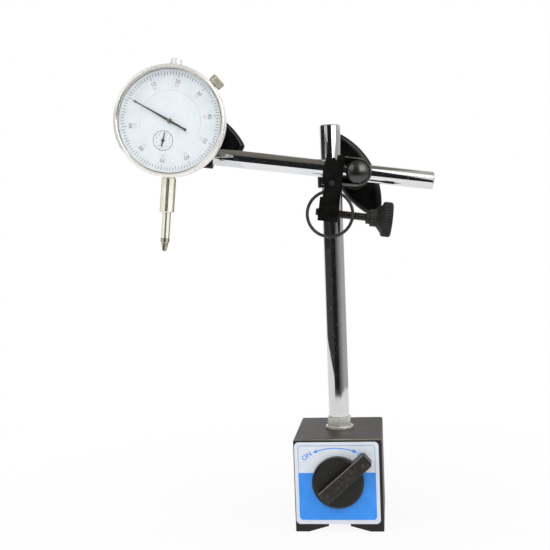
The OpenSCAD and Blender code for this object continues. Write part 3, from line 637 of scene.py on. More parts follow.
class StandColours(bpy.types.PropertyGroup):
    """Colours of the stand, as the eye reads them"""
    block: shade("Block", "Paint of the magnet block", (0.09, 0.09, 0.087))
    # On the block this colour also paints the painted top light and the painted highlight on its front edge
    dust: shade("Dust", "Dust and rubbed places", (0.56, 0.53, 0.49))
    chrome: shade("Chrome", "Column", (0.835, 0.835, 0.84))
    arm: shade("Arm", "Brighter chrome of the arm", (0.895, 0.9, 0.91))
    zinc: shade("Zinc", "Plating of the nut and washer", (0.87, 0.87, 0.84))
    bezel: shade("Bezel", "Satin plating of the bezel", (0.975, 0.972, 0.955))
    clamp: shade("Clamp", "Blackened steel of the clamps", (0.03, 0.029, 0.025))
    rim: shade("Rim", "Greyer steel of the stirrup", (0.37, 0.36, 0.33))
    ring: shade("Ring", "Dark steel of the wire ring", (0.24, 0.235, 0.22))
    dome: shade("Dome", "Satin black of the bolts' domed ends", (0.07, 0.066, 0.055))
    knob: shade("Knob", "Black plastic of the knurled knob", (0.13, 0.125, 0.113))
    wing: shade("Wing", "Glossy plastic of the wing knobs", (0.02, 0.02, 0.015))
    switch: shade("Switch", "Plastic of the magnet's switch", (0.1, 0.093, 0.088))
    # Paints the lever's scuffs and the painted highlight along its upper left edge
    worn: shade("Worn", "Edge of the switch's lever", (0.46, 0.44, 0.4))
    plate: shade("Plate", "Front plate", (0.865, 0.885, 0.925))
    blue: shade("Blue", "Ink of the front plate", (0.16, 0.56, 0.95))
    line: shade("Line", "Thin line round the front plate", (0.64, 0.7, 0.83))
    face: shade("Face", "Face of the dial", (0.88, 0.91, 0.93))
    ticks: shade("Ticks", "Blue grey ink of the ticks", (0.27, 0.29, 0.39))
    figures: shade("Figures", "Black ink of the figures", (0.32, 0.32, 0.38))
    red: shade("Red", "Red ink of the dial", (0.81, 0.69, 0.72))
    faint: shade("Faint", "Faint line round the middle of the face", (0.74, 0.73, 0.77))
    lip: shade("Lip", "Bare inner edge of the bezel", (0.8, 0.78, 0.74))
    nickel: shade("Nickel", "Stem and spindle", (0.95, 0.945, 0.9))
    brass: shade("Brass", "Hub of the large hand", (0.6, 0.58, 0.42))
    floor: shade("Floor", "Floor of the studio", (0.96, 0.96, 0.96))


def sizes():
    return bpy.context.scene.stand_sizes


def colours():
    return bpy.context.scene.stand_colours


# Places taken from the frame

def dial_plane(depth=0.0):
    """The dial's right, up and outward axes, from a point a depth in front of the large hand's pivot."""
    right = Vector(JOINTS["dial_pitch"]["axis"])
    up = Vector(JOINTS["spindle_travel"]["axis"])
    pivot = Vector(JOINTS["hand_turn"]["pos_m"])
    return plane(right, up, pivot + right.cross(up) * depth)


def on_dial(node):
    """A node's points in the dial's own right, up and outward."""
    local = dial_plane().inverted()
    return [local @ vertex.co for vertex in NODES[node].data.vertices]


def dial_reach(node):
    """How far a node's back and front stand along the dial's axis, and its greatest radius round it."""
    points = on_dial(node)
    depths = [point.z for point in points]
    return min(depths), max(depths), max(math.hypot(point.x, point.y) for point in points)


def small_dial_place(depth):
    """The dial's plane at a depth, moved to the small hand's axis."""
    local = dial_plane().inverted() @ Vector(JOINTS["counter_turn"]["pos_m"])
    return dial_plane(depth) @ Matrix.Translation((local.x, local.y, 0))


def hand_direction():
    """The large hand's angle from the dial's right, anticlockwise, from where the hand's node reaches."""
    tip = max(on_dial("large_hand"), key=lambda point: math.hypot(point.x, point.y))
    return math.atan2(tip.y, tip.x)


class StandOperator:
    """What the stand's operators share"""
    bl_options = {"REGISTER", "UNDO"}


class STAND_OT_magnet_block(StandOperator, bpy.types.Operator):
    """Rounds the magnet block's edges and paints it"""
    bl_idname = "stand.magnet_block"
    bl_label = "Magnet block"

    def execute(self, context):
        # The block's paint carries painted top light and a painted highlight along its front edge
        paint = finish_black_paint(colours().block, colours().dust)
        spacer = abs(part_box("pole_spacers")[0].x)
        beside_spacer = 0.4 * MM

        def outside(middle):
            return abs(abs(middle.x) - spacer) > beside_spacer

        for node in ("left_pole", "right_pole"):
            rounded(node, "painted", sizes().block_edge * MM, paint, outside, segments=3)
        coat(paint, "pole_spacers")
        coat(finish_moulded("rear_cap_black", colours().knob, roughness=0.5), "rear_cap")
        brass = colours().brass
        coat(finish_turned_metal("bush_brass", brass, brass, roughness=0.3), "front_bush")
        return {"FINISHED"}


class STAND_OT_front_plate(StandOperator, bpy.types.Operator):
    """Prints the front plate: its blue half, its frame line, the arrow and ON and OFF"""
    bl_idname = "stand.front_plate"
    bl_label = "Front plate"

    def execute(self, context):
        low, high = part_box("front_plate")
        film = sizes().ink * MM
        switch = Vector(JOINTS["magnet_switch"]["pos_m"])
        place = plane((1, 0, 0), (0, 0, 1), Vector((switch.x, low.y, switch.z)))
        edge, side, foot, head, corner, blue_h = mm(0.15, 2.0, 2.4, 1.7, 2.0, 27)
        rounded("front_plate", "enamel", edge, finish_print("plate_white", colours().plate, roughness=0.3))

        left, right = low.x - switch.x + side, high.x - switch.x - side
        bottom, top = low.z - switch.z + foot, high.z - switch.z - head
        blue_top = bottom + blue_h
        blue_half = rounded_outline(left, right, bottom, blue_top, (corner, corner, 0, 0))
        line = self.upper_line(left, right, blue_top, top, corner)
        letter, bold, slant = sizes().letter * MM, 0.06 * MM, math.radians(36)
        on_at, off_at = mm(-17.3, 14.4), mm(14.1, 13.5)
        blue = finish_print("plate_blue", colours().blue, roughness=0.32)
        grey = finish_print("plate_line_grey", colours().line, roughness=0.32)
        for mark, ink in (
            (flat_print("plate_blue_half", blue_half, film), blue),
            (flat_print("plate_line", line, film), grey),
            (lettering("plate_on", "ON", letter, film, on_at, slant, bold), blue),
            (lettering("plate_off", "OFF", letter, film, off_at, -slant, bold), blue),
            (self.arrow(film), blue),
        ):
            dress(settle(mark, place), ink, "front_plate")
        return {"FINISHED"}

    def upper_line(self, left, right, low, high, corner):
        """The line round the white half, open where the blue half starts."""
        line = 0.45 * MM
        inner = corner - line
        in_left, in_right = left + line, right - line
        lower_points = 2 * (CORNER_STEPS + 1)
        outside = rounded_outline(left, right, low, high, (0, 0, corner, corner))[lower_points:]
        inside = rounded_outline(in_left, in_right, low, high - line, (0, 0, inner, inner))[lower_points:]
        return [(right, low), *outside, (left, low), (in_left, low), *inside[::-1], (in_right, low)]

    def arrow(self, film):
        """An arc with a head at each end, over the switch."""
        radius, width, head_l, head_w = mm(32.4, 0.55, 2.6, 1.1)
        centre = mm(-1.4, -13.5)
        half_angle, steps = 18.2, 24
        arc = arc_points(radius + width / 2, 90 - half_angle, 90 + half_angle, steps, centre)
        arc += arc_points(radius - width / 2, 90 + half_angle, 90 - half_angle, steps, centre)
        pieces = [flat_print("plate_arrow", arc, film)]
        for side in (-1, 1):
            end = math.radians(90 - side * half_angle)
            tip = math.radians(90 - side * (half_angle + math.degrees(head_l / radius)))
            points = [
                polar(radius, tip, centre),
                polar(radius + head_w, end, centre),
                polar(radius - head_w, end, centre),
            ]
            pieces.append(flat_print("plate_arrow_head", points, film))
        return joined("plate_arrow", pieces)


class STAND_OT_switch(StandOperator, bpy.types.Operator):
    """Rounds the switch and gives it and the rotor their finishes"""
    bl_idname = "stand.switch"
    bl_label = "Magnet switch"

    def execute(self, context):
        edge, half_lever = mm(0.35, 3.5)
        knob = softened("switch_knob", "switch_moulded", edge)
        lever_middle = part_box("switch_knob")[0].y + half_lever
        # The switch's finish has a painted highlight along the lever's upper left edge
        black = finish_handled("switch_black", colours().switch, colours().worn, lever_middle)
        dress(knob, black, "switch_knob", replaces=True)
        iron = finish_turned_metal("rotor_iron", (0.45, 0.45, 0.46), (0.4, 0.38, 0.36), roughness=0.4)
        coat(iron, "rotor_segments", "rotor_shaft")
        coat(finish_moulded("magnet_dark", (0.18, 0.18, 0.19), roughness=0.55), "magnet")
        return {"FINISHED"}


class STAND_OT_rods(StandOperator, bpy.types.Operator):
    """Chromes the column and the arm, and plates the column's nut and washer"""
    bl_idname = "stand.rods"
    bl_label = "Column and arm"

    def execute(self, context):
        upright, along_arm = (0, 0, 1), JOINTS["arm_slide"]["axis"]
        coat(finish_chrome("column_chrome", colours().chrome, colours().dust, upright), "column")
        coat(finish_chrome("arm_chrome", colours().arm, colours().dust, along_arm), "arm")
        dull = mixed(colours().zinc, colours().dust, 0.25)
        zinc = finish_satin("zinc", colours().zinc, dull, roughness=0.28, metallic=0.6)
        for node, edge in (("foot_nut", 0.3), ("foot_washer", 0.35)):
            rounded(node, "plated", edge * MM, zinc)
        return {"FINISHED"}


class STAND_OT_clamps(StandOperator, bpy.types.Operator):
    """Rounds and blackens both clamps' straps and bolts, the stirrup, the bracket and the ring"""
    bl_idname = "stand.clamps"
    bl_label = "Clamps"

    def execute(self, context):
        steel = finish_blackened(colours().clamp, colours().dust)
        domed = finish_moulded("dome_black", colours().dome, roughness=0.28, gloss=1.0)
        rim = finish_rubbed_steel("rim_steel", colours().rim, colours().clamp)
        ring = finish_rubbed_steel("ring_steel", colours().ring, colours().clamp)
        edge, rim_edge = mm(sizes().clamp_edge, 0.25)
        for node in ("column_strap", "pinch_bracket", "dial_strap"):
            rounded(node, "blackened", edge, steel)
        for node in ("swivel_bolt", "dial_bolt"):
            rounded(node, "blackened", edge, domed)
        rounded("stirrup", "rubbed", rim_edge, rim)
        coat(ring, "spring_ring")
        coat(finish_moulded("rivet_black", colours().knob, roughness=0.42, gloss=0.2), "bracket_rivet")
        return {"FINISHED"}


class STAND_OT_pinch_screw(StandOperator, bpy.types.Operator):
    """Cuts the pinch screw's thread and finishes its knob"""
    bl_idname = "stand.pinch_screw"
    bl_label = "Pinch screw and knob"

    def execute(self, context):
        dark = finish_turned_metal("screw_dark", (0.44, 0.42, 0.4), (0.31, 0.28, 0.27), roughness=0.33)
        dress(self.threaded_rod(), dark, "pinch_screw", replaces=True)
        black = finish_moulded("pinch_knob_black", colours().knob, roughness=0.45, grain=1.2, gloss=0.26)
        coat(black, "pinch_knob")
        return {"FINISHED"}

    def threaded_rod(self):
        """A rod with a helical ridge, along the pinch screw's own axis."""
        axis = Vector(JOINTS["pinch_turn"]["axis"]).normalized()
        origin = Vector(JOINTS["pinch_turn"]["pos_m"])
        points = [vertex.co - origin for vertex in NODES["pinch_screw"].data.vertices]
        along = [point.dot(axis) for point in points]
        start, end = min(along), max(along)
        radius = max((point - axis * point.dot(axis)).length for point in points)
        pitch = sizes().thread_pitch * MM
        depth = 0.5 * pitch
        core = radius - depth
        profile = [
            (PINHOLE, start), (core - depth, start), (core, start + depth), (core, end), (PINHOLE, end)]
        rod = turned("pinch_core", profile, segments=32)
        ridge = self.ridge(core, radius, pitch, start + depth, end - pitch)
        screw = joined("pinch_screw_threaded", [rod, ridge])
        turn_to_axis = axis.to_track_quat("Z", "Y").to_matrix().to_4x4()
        settle(screw, Matrix.Translation(origin) @ turn_to_axis)
        smooth(screw, angle=50)
        return screw

    def ridge(self, core, radius, pitch, start, end):
        """The thread's triangular ridge, wound by a Screw modifier."""
        half, root = 0.46 * pitch, core - 0.1 * MM
        section = [(root, -half), (radius, 0), (root, half)]
        only()
        bpy.ops.mesh.primitive_circle_add(vertices=len(section))
        piece = made("pinch_ridge")
        for vertex, (x, z) in zip(piece.data.vertices, section):
            vertex.co = (x, 0, z + start + half)
        wind = piece.modifiers.new("Wind", "SCREW")
        wind.steps = wind.render_steps = 24
        wind.screw_offset = pitch
        wind.iterations = int((end - start) / pitch)
        wind.use_normal_calculate = True
        apply_modifiers(piece)
        edit(piece)
        bpy.ops.mesh.remove_doubles(threshold=WELD)
        bpy.ops.mesh.fill_holes(sides=len(section))
        done(outward=True)
        return piece


class STAND_OT_wing_knobs(StandOperator, bpy.types.Operator):
    """Smooths the two wing knobs and gives them a glossy moulded finish"""
    bl_idname = "stand.wing_knobs"
    bl_label = "Wing knobs"

    def execute(self, context):
        gloss = finish_moulded("wing_gloss", colours().wing, roughness=0.17, grain=0.4, gloss=0.24)
        for node, growth in (("column_wing", 1.07), ("dial_wing", 1.0)):
            knob = moulded(node, f"{node}_moulded", grain=0.4 * MM, rounds=60, growth=growth)
            dress(knob, gloss, node, replaces=True)
        return {"FINISHED"}


class STAND_OT_gauge_body(StandOperator, bpy.types.Operator):
    """Finishes the gauge's case, back, stem, dust cap, spindle and screws"""
    bl_idname = "stand.gauge_body"
    bl_label = "Gauge body"

    def execute(self, context):
        warm = mixed(colours().nickel, (0.7, 0.62, 0.5), 0.3)
        nickel = finish_satin("nickel", colours().nickel, warm, roughness=0.16, metallic=0.85)
        silver = finish_satin(
            "case_silver", (0.8, 0.8, 0.81), (0.76, 0.75, 0.74), roughness=0.34, metallic=0.9)
        pale = mixed(colours().bezel, colours().nickel, 0.5)
        bright = finish_satin("cap_bright", colours().bezel, pale, roughness=0.25, metallic=0.3)
        knurl = finish_satin(
            "lock_grey", (0.79, 0.77, 0.7), (0.71, 0.69, 0.62), roughness=0.36, metallic=0.5)
        steel = finish_turned_metal("stud_steel", (0.62, 0.62, 0.63), (0.55, 0.53, 0.5), roughness=0.3)
        contact = finish_turned_metal(
            "contact_steel", (0.74, 0.73, 0.66), (0.62, 0.61, 0.52), roughness=0.2)
        case_edge, stem_edge = mm(0.25, 0.15)
        for node in ("back_cover", "dial_case"):
            rounded(node, "satin", case_edge, silver)
        for node, finish in (("stem", nickel), ("dust_cap", bright)):
            rounded(node, "plated", stem_edge, finish)
        coat(nickel, "spindle")
        coat(contact, "contact_point")
        coat(steel, "lug_stud", "lug_nut", "back_screws")
        coat(knurl, "lock_screw")
        return {"FINISHED"}


class STAND_OT_bezel(StandOperator, bpy.types.Operator):
    """Turns the bezel with its round front and groove, bares its inner lip and clears the crystal"""
    bl_idname = "stand.bezel"
    bl_label = "Bezel and crystal"

    def execute(self, context):
        back, front, radius = dial_reach("bezel")
        length = front - back
        window = radius - 2.45 * MM
        inner = radius - 1.9 * MM
        crest = radius - 1.3 * MM
        lip, inside_h, outside_h = mm(1.2, 0.9, 1.9)
        groove_top, groove_end, groove_slope, groove_depth = mm(3.1, 4.2, 0.2, 0.35)
        groove_r = radius - groove_depth
        back_h, back_w = mm(0.7, 0.6)
        # The round front from the window over the crest, then a groove, the side and the back edge
        profile = [(window, -lip)]
        profile += self.inward(self.quarter(crest, -inside_h, crest - window, inside_h), crest)
        profile += self.quarter(crest, -outside_h, radius - crest, outside_h)[1:]
        profile += [
            (radius, -groove_top), (groove_r, -groove_top - groove_slope),
            (groove_r, groove_slope - groove_end), (radius, -groove_end),
            (radius, back_h - length), (radius - back_w, -length), (inner, -length), (inner, -lip),
        ]
        bezel = settle(turned("bezel_turned", profile, segments=192), dial_plane(front))
        dull = mixed(colours().bezel, colours().dust, 0.12)
        satin = finish_satin("bezel_satin", colours().bezel, dull, roughness=0.24, metallic=0.42)
        dress(bezel, satin, "bezel", replaces=True)
        bare_dull = mixed(colours().lip, colours().dust, 0.2)
        bare = finish_satin("lip_bare", colours().lip, bare_dull, roughness=0.14, metallic=1.0)
        dress(self.bare_lip(window, crest, inside_h, front), bare, "bezel")
        coat(finish_crystal(), "crystal")
        return {"FINISHED"}

    def quarter(self, radius, height, across, high):
        """A quarter of an oval round a radius and height, from its top to its outer side."""
        angles = [math.pi / 2 * i / CORNER_STEPS for i in range(CORNER_STEPS + 1)]
        return [(radius + across * math.sin(a), height + high * math.cos(a)) for a in angles]

    def inward(self, points, crest):
        """A quarter turned over to the inner side of the crest, from its side to its top."""
        return [(2 * crest - r, z) for r, z in points[::-1]]

    def bare_lip(self, window, crest, depth, front):
        """A thin ring of bare metal over the bezel's inner edge, where the plating is turned away."""
        proud, sunk = mm(0.03, 0.2)
        slope = self.quarter(crest, -depth, crest - window + proud, depth + proud)
        profile = self.inward(slope[2:], crest)
        r, z = profile[-1]
        profile += [(r + sunk, z - sunk), (window + sunk, -depth)]
        return settle(turned("bezel_lip", profile, segments=192), dial_plane(front))


class STAND_OT_scale(StandOperator, bpy.types.Operator):
    """Prints the turning scale: a hundred ticks and two rows of figures"""
    bl_idname = "stand.scale"
    bl_label = "Scale"

    def execute(self, context):
        coat(finish_print("face_white", colours().face, roughness=0.45), "scale_ring", "face_plate")
        black = finish_print("dial_black", colours().figures, roughness=0.5)
        blue_grey = finish_print("dial_ticks", colours().ticks, roughness=0.5)
        red = finish_print("dial_red", colours().red, roughness=0.5)
        place = dial_plane(dial_reach("scale_ring")[1])
        film = sizes().ink * MM
        zero = hand_direction()
        # How many ticks each kind has, and their length in plain ticks
        kinds = ("scale_units", 100, 1.0), ("scale_fives", 20, 1.35), ("scale_tens", 10, 1.7)
        ticks = joined("scale_ticks", [self.ticks(*kind, film) for kind in kinds])
        settle(ticks, place @ Matrix.Rotation(zero, 4, "Z"))
        dress(ticks, blue_grey, "scale_ring")
        black_r, red_r = mm(21.3, 18.9)
        for name, height, radius, backwards, ink in (
            ("scale_figures", sizes().figure * MM, black_r, False, black),
            ("scale_red_figures", sizes().small_figure * MM, red_r, True, red),
        ):
            figures = [self.figure(i, height, radius, backwards, zero, film) for i in range(FIGURES)]
            dress(settle(joined(name, figures), place), ink, "scale_ring")
        return {"FINISHED"}

    def ticks(self, name, count, share, film):
        """Ticks of one length, a full turn of them, the first along X."""
        end = sizes().tick_outer * MM
        start = end - share * sizes().tick * MM
        half = sizes().tick_width * MM / 2
        return repeated_round(flat_print(name, bar_outline(start, end, half), film), count)

    def figure(self, i, height, radius, backwards, zero, film):
        """One figure, its top outwards. One row counts clockwise from the hand, the other backwards."""
        tens = -i % FIGURES if backwards else i
        angle = zero - math.radians(360 / FIGURES * i)
        at = polar(radius, angle)
        return lettering(f"figure_{i}", str(10 * tens), height, film, at, angle - math.pi / 2)


class STAND_OT_face(StandOperator, bpy.types.Operator):
    """Prints the fixed middle of the face: its thin ring, its white edge and the small dial"""
    bl_idname = "stand.face"
    bl_label = "Face"

    def execute(self, context):
        front = dial_reach("face_plate")[1]
        film = sizes().ink * MM
        black, white = bpy.data.materials["dial_black"], bpy.data.materials["face_white"]
        faint = finish_print("dial_faint", colours().faint, roughness=0.5)
        ring_r, ring_w, edge_r, edge_w, clear_of_scale = mm(16.4, 0.16, 17.2, 0.8, 0.02)
        ring = ring_print("face_ring", ring_r, ring_w, film, start=-20, sweep=220, steps=120)
        dress(settle(ring, dial_plane(front)), faint, "face_plate")
        edge = ring_print("face_edge", edge_r, edge_w, film)
        dress(settle(edge, dial_plane(front + clear_of_scale)), white, "face_plate")
        dress(settle(self.small_dial(film), small_dial_place(front)), black, "face_plate")
        return {"FINISHED"}

    def small_dial(self, film):
        """The small dial that counts turns: its circle, ten ticks and ten figures."""
        radius, line, tick_l, half, figure_r, figure_h = mm(5.3, 0.26, 0.8, 0.1, 3.6, 1.3)
        tick = bar_outline(radius - tick_l, radius, half)
        marks = [
            ring_print("small_ring", radius, line, film, steps=64),
            repeated_round(flat_print("small_ticks", tick, film), FIGURES),
        ]
        for i in range(FIGURES):
            at = polar(figure_r, math.radians(90 - 360 / FIGURES * i))
            marks.append(lettering(f"small_figure_{i}", str(i), figure_h, film, at))
        return joined("small_dial", marks)


class STAND_OT_hands(StandOperator, bpy.types.Operator):
    """Finishes both hands, with a domed brass hub on the large one"""
    bl_idname = "stand.hands"
    bl_label = "Hands"

    def execute(self, context):
        ink = finish_print("hand_black", (0.05, 0.05, 0.055), roughness=0.4)
        back, front, reach = dial_reach("large_hand")
        thick = 0.3 * MM
        blade_front = front - thick
        tail, half_tip, half_root, weight = mm(9.4, 0.2, 0.6, 0.75)
        needle = self.needle("large_hand_blade", reach, tail, half_tip, half_root, weight, thick)
        settle(needle, dial_plane(blade_front - thick) @ Matrix.Rotation(hand_direction(), 4, "Z"))
        dress(needle, ink, "large_hand", replaces=True)
        dulled = mixed(colours().brass, (0.45, 0.45, 0.38), 0.5)
        brass = finish_turned_metal("hub_brass", colours().brass, dulled, roughness=0.3)
        hub = settle(self.hub(back - blade_front), dial_plane(blade_front))
        dress(hub, brass, "large_hand")
        dress(self.small_hand(), ink, "small_hand", replaces=True)
        return {"FINISHED"}

    def hub(self, sleeve):
        """The large hand's hub: a pin, a step and a domed shoulder, down to the back of its sleeve."""
        radius = 1.4 * MM
        profile = [(PINHOLE, 0.4 * MM), mm(0.4, 0.38), mm(0.45, 0.25), mm(1.0, 0.2), mm(1.3, 0.08)]
        profile += [(radius, -0.05 * MM), (radius, sleeve), (PINHOLE, sleeve)]
        return turned("hand_hub", profile, segments=48)

    def needle(self, name, reach, tail, half_tip, half_root, weight, thick):
        """A hand's blade along X: its point, its widening to the hub, and the round weight on its tail."""
        hub, half_neck = 2 * half_root, 0.8 * half_root
        end = arc_points(weight, start=60, end=300, steps=16, centre=(-tail, 0))
        outline = [(reach, -half_tip), (reach, half_tip), (hub, half_root), (-hub, half_root)]
        outline += [(weight - tail, half_neck), *end, (weight - tail, -half_neck)]
        outline += [(-hub, -half_root), (hub, -half_root)]
        return flat_print(name, outline, thick)

    def small_hand(self):
        """The small hand with its hub, where the small hand's node lies."""
        back, front, _ = dial_reach("small_hand")
        high = front - back
        thick = 0.7 * high
        turn = math.radians(80)
        reach, tail, half_tip, half_root, weight = mm(4.8, 2.7, 0.16, 0.36, 0.42)
        blade = self.needle("small_hand_blade", reach, tail, half_tip, half_root, weight, thick)
        settle(blade, Matrix.Rotation(turn, 4, "Z"))
        top_r, hub_r = mm(0.75, 0.9)
        profile = [(PINHOLE, high), (top_r, high), (hub_r, thick), (hub_r, 0), (PINHOLE, 0)]
        hub = turned("small_hand_hub", profile, segments=32)
        return settle(joined("small_hand_inked", [blade, hub]), small_dial_place(back))


class STAND_OT_movement(StandOperator, bpy.types.Operator):
    """Finishes the gear train and the plate inside the gauge"""
    bl_idname = "stand.movement"
    bl_label = "Movement"

    def execute(self, context):
        brass = finish_turned_metal("train_brass", (0.78, 0.68, 0.42), (0.7, 0.6, 0.36), roughness=0.28)
        coat(brass, "movement_plate", "centre_pinion", "gear_arbor")
        return {"FINISHED"}


class STAND_OT_stage(StandOperator, bpy.types.Operator):
    """Sets the floor, the soft light and the photograph's camera"""
    bl_idname = "stand.stage"
    bl_label = "Studio"

    def execute(self, context):
        self.camera()
        self.world()
        self.floor()
        self.cards()
        self.lamps()
        context.scene.view_settings.view_transform = "Standard"
        return {"FINISHED"}

    def camera(self):
        """The photograph's view, turned by yaw, then pitch, then roll."""
        ahead = Vector((
            math.sin(CAMERA_YAW) * math.cos(CAMERA_PITCH),
            math.cos(CAMERA_YAW) * math.cos(CAMERA_PITCH),
            -math.sin(CAMERA_PITCH),
        ))
        level = Vector((math.cos(CAMERA_YAW), -math.sin(CAMERA_YAW), 0))
        down = ahead.cross(level)
        right = math.cos(CAMERA_ROLL) * level + math.sin(CAMERA_ROLL) * down
        up = math.sin(CAMERA_ROLL) * level - math.cos(CAMERA_ROLL) * down
        bpy.ops.object.camera_add()
        camera = made("photograph_view")
        camera.matrix_world = plane(right, up, CAMERA_AT)
        camera.data.sensor_width = SENSOR
        camera.data.lens = CAMERA_FOCAL_PX * SENSOR / PHOTO_SIZE
        camera.data.clip_start = 0.01
        bpy.context.scene.camera = camera

    def world(self):
        """White to the eye and to metal, and a softer fill light otherwise."""
        fill, full = 0.55, 1.0
        world = bpy.data.worlds.new("studio")
        bpy.context.scene.world = world
        sky = Nodes(world)
        background = sky.tree.nodes["Background"]
        background.inputs["Color"].default_value = (1, 1, 1, 1)
        sky.join(sky.between(sky.shows_background(), fill, full), background.inputs["Strength"])

    def floor(self):
        """A pale floor that keeps the object's shadow near it and runs out into the background."""
        near, far = 0.05, 0.28
        near_white, far_white = 0.91, 1.0
        only()
        bpy.ops.mesh.primitive_plane_add(size=14)
        floor = made("floor")
        pale = Finish("floor_pale", colours().floor, roughness=0.9, gloss=0.1)
        away = pale.node("ShaderNodeVectorMath", operation="LENGTH")
        pale.join(pale.node("ShaderNodeTexCoord").outputs["Object"], away.inputs[0])
        white = pale.between(away.outputs["Value"], near_white, far_white, near, far)
        mix = pale.node("ShaderNodeMixShader")
        pale.join(pale.combined("MULTIPLY", pale.shows_background(), white), mix.inputs["Fac"])
        pale.join(pale.shader.outputs[0], mix.inputs[1])
        pale.join(pale.node("ShaderNodeEmission").outputs[0], mix.inputs[2])
        pale.surface(mix)
        cover(floor, pale.material)

    def cards(self):
        """Cards that only gloss and metal show: round the stand, above it, and small ones by the stem."""
        material = bpy.data.materials.new("card_shades")
        shades = Nodes(material)
        shade_of = shades.node("ShaderNodeAttribute", attribute_name="shade")
        glow = shades.node("ShaderNodeEmission")
        shades.join(shade_of.outputs["Color"], glow.inputs["Color"])
        shades.surface(glow)
        # Azimuth of both ends, in degrees right of the front, then their distance, low edge, top and grey
        for card in (
            ("card_front", (-27, 19), (0.39, 0.39), (0, 0), (0.47, 0.6), (0.018, 0.018)),
            ("card_gap", (-37, -27), (0.39, 0.39), (0, 0), (0.25, 0.25), (0.07, 0.05)),
            ("card_left", (-124, -37), (0.85, 0.5), (0, 0), (0.48, 0.4), (0.07, 0.05)),
            ("card_right", (19, 80), (0.38, 0.43), (0, 0), (0.2, 0.265), (0.05, 0.47)),
            ("card_rear", (80, 183), (0.43, 0.43), (0, 0), (0.265, 0.265), (0.47, 0.6)),
            ("card_right_high", (69, 183), (1.0, 1.0), (0.3, 0.3), (1.2, 1.2), (0.6, 0.7)),
            ("card_window", (22, 69), (0.7, 1.0), (0.25, 0.3), (0.9, 1.2), (3.5, 3.5)),
        ):
            self.card(material, *card)
        brown, tan = (0.16, 0.15, 0.125), (0.25, 0.24, 0.205)
        beige, grey = (0.5, 0.48, 0.43), (0.26, 0.25, 0.23)
        cream, stone = (1.2, 1.19, 1.12), (0.45, 0.44, 0.4)
        white, soft, dark = (1.4, 1.4, 1.4), (1.1, 1.1, 1.06), (0.03, 0.03, 0.03)
        pale = (0.86, 0.86, 0.87)
        # Two opposite corners, then the shade at the front and at the rear
        for sheet in (
            ("card_ceiling_front", (-2.5, -2.6, 1.35), (2.5, -0.6, 1.35), dark, brown),
            ("card_ceiling", (-2.5, -0.6, 1.35), (2.5, 2.5, 1.35), brown, tan),
            ("card_softbox", (0.29, -2.1, 1.3), (1.4, -0.43, 1.3), white, white),
            ("card_ceiling_right", (0.29, -0.43, 1.3), (2.5, 2.5, 1.3), beige, beige),
            ("card_stem_left", (-0.115, -0.112, 0.158), (-0.115, 0.02, 0.214), cream, stone),
            ("card_stem_right", (-0.07, -0.084, 0.158), (-0.07, -0.046, 0.203), soft, soft),
            ("card_stem_behind", (-0.07, -0.046, 0.158), (-0.07, 0.01, 0.203), grey, grey),
            ("card_stem_back", (-0.0695, -0.085, 0.157), (-0.0695, 0.014, 0.177), dark, dark),
            ("card_stem_ledge", (-0.0694, -0.06, 0.1775), (-0.056, 0.03, 0.1775), pale, pale),
            ("card_stem_face", (-0.0695, -0.085, 0.1775), (-0.0695, 0.014, 0.2035), pale, pale),
        ):
            self.sheet(material, *sheet)

    def card(self, material, name, azimuth, distance, low, high, grey):
        """A curved card that stands round the column and changes evenly from one end to the other."""
        only()
        bpy.ops.mesh.primitive_grid_add(x_subdivisions=24, y_subdivisions=1, size=2)
        card = made(name)
        start, end = zip(azimuth, distance, low, high, grey)
        shades = []
        for vertex in card.data.vertices:
            angle, away, bottom, top, tone = mixed(start, end, (vertex.co.x + 1) / 2)
            angle = math.radians(angle)
            height = bottom if vertex.co.y < 0 else top
            vertex.co = (away * math.sin(angle), -away * math.cos(angle), height)
            shades.append((tone, tone, tone))
        self.hang(card, material, shades)

    def sheet(self, material, name, corner, opposite, front, rear):
        """A flat card, level or upright, that runs from the front to the rear."""
        only()
        bpy.ops.mesh.primitive_plane_add(size=2)
        card = made(name)
        ends = (corner, opposite)
        shades = []
        for vertex in card.data.vertices:
            side, depth = ends[vertex.co.x > 0], vertex.co.y > 0
            vertex.co = (side[0], ends[depth][1], side[2])
            shades.append((front, rear)[depth])
        self.hang(card, material, shades)

    def hang(self, card, material, shades):
        """Shades a card, and hides it from the camera and from plain light."""
        layer = card.data.color_attributes.new("shade", "FLOAT_COLOR", "POINT")
        for point, shade_at in zip(layer.data, shades):
            point.color = (*shade_at, 1)
        cover(card, material)
        card.visible_camera = False
        card.visible_shadow = False
        card.visible_diffuse = False

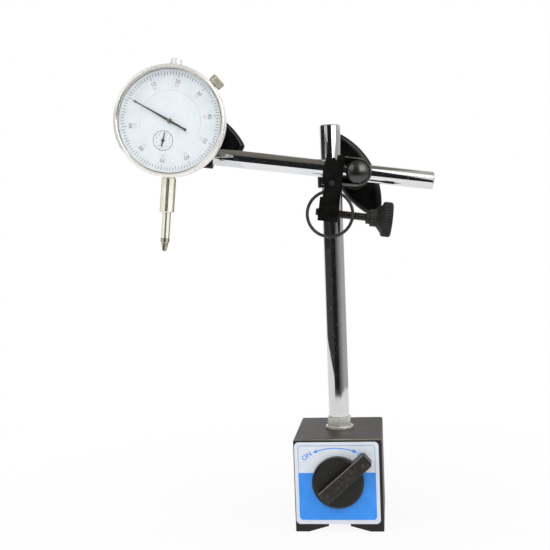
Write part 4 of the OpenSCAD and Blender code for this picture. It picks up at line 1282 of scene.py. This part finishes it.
    def lamps(self):
        """Soft lamps above on the left and the right, and a fill from the front that metal doesn't show."""
        target = Vector((-0.03, 0, 0.14))
        for name, place, width, power, shows in (
            ("lamp_left", (-0.9, -0.8, 1.1), 0.9, 5.0, True),
            ("lamp_right", (1.0, -0.6, 0.9), 0.6, 4.0, True),
            ("lamp_front", (0.1, -1.3, 0.7), 1.0, 6.0, False),
        ):
            bpy.ops.object.light_add(type="AREA", location=place)
            lamp = made(name)
            lamp.data.size = width
            lamp.data.energy = power
            lamp.rotation_euler = (target - Vector(place)).to_track_quat("-Z", "Y").to_euler()
            lamp.visible_glossy = shows


class STAND_PT_sidebar(bpy.types.Panel):
    """Lists the stand's steps and the sizes and colours they use"""
    bl_idname = "STAND_PT_sidebar"
    bl_label = "Dial indicator stand"
    bl_space_type = "VIEW_3D"
    bl_region_type = "UI"
    bl_category = "Stand"

    def draw(self, context):
        for step in STEPS:
            self.layout.operator(step.bl_idname)
        for group in (sizes(), colours()):
            box = self.layout.box()
            for name in group.__annotations__:
                box.prop(group, name)


STEPS = (
    STAND_OT_stage,
    STAND_OT_magnet_block,
    STAND_OT_front_plate,
    STAND_OT_switch,
    STAND_OT_rods,
    STAND_OT_clamps,
    STAND_OT_pinch_screw,
    STAND_OT_wing_knobs,
    STAND_OT_gauge_body,
    STAND_OT_bezel,
    STAND_OT_scale,
    STAND_OT_face,
    STAND_OT_hands,
    STAND_OT_movement,
)
CLASSES = (StandSizes, StandColours, *STEPS, STAND_PT_sidebar)


def register():
    for cls in CLASSES:
        bpy.utils.register_class(cls)
    bpy.types.Scene.stand_sizes = bpy.props.PointerProperty(type=StandSizes)
    bpy.types.Scene.stand_colours = bpy.props.PointerProperty(type=StandColours)


def unregister():
    del bpy.types.Scene.stand_colours
    del bpy.types.Scene.stand_sizes
    for cls in reversed(CLASSES):
        bpy.utils.unregister_class(cls)


def main():
    register()
    only()
    bpy.ops.stand.stage()
    bpy.ops.stand.magnet_block()
    bpy.ops.stand.front_plate()
    bpy.ops.stand.switch()
    bpy.ops.stand.rods()
    bpy.ops.stand.clamps()
    bpy.ops.stand.pinch_screw()
    bpy.ops.stand.wing_knobs()
    bpy.ops.stand.gauge_body()
    bpy.ops.stand.bezel()
    bpy.ops.stand.scale()
    bpy.ops.stand.face()
    bpy.ops.stand.hands()
    bpy.ops.stand.movement()
    only()


if __name__ == "__main__":
    main()
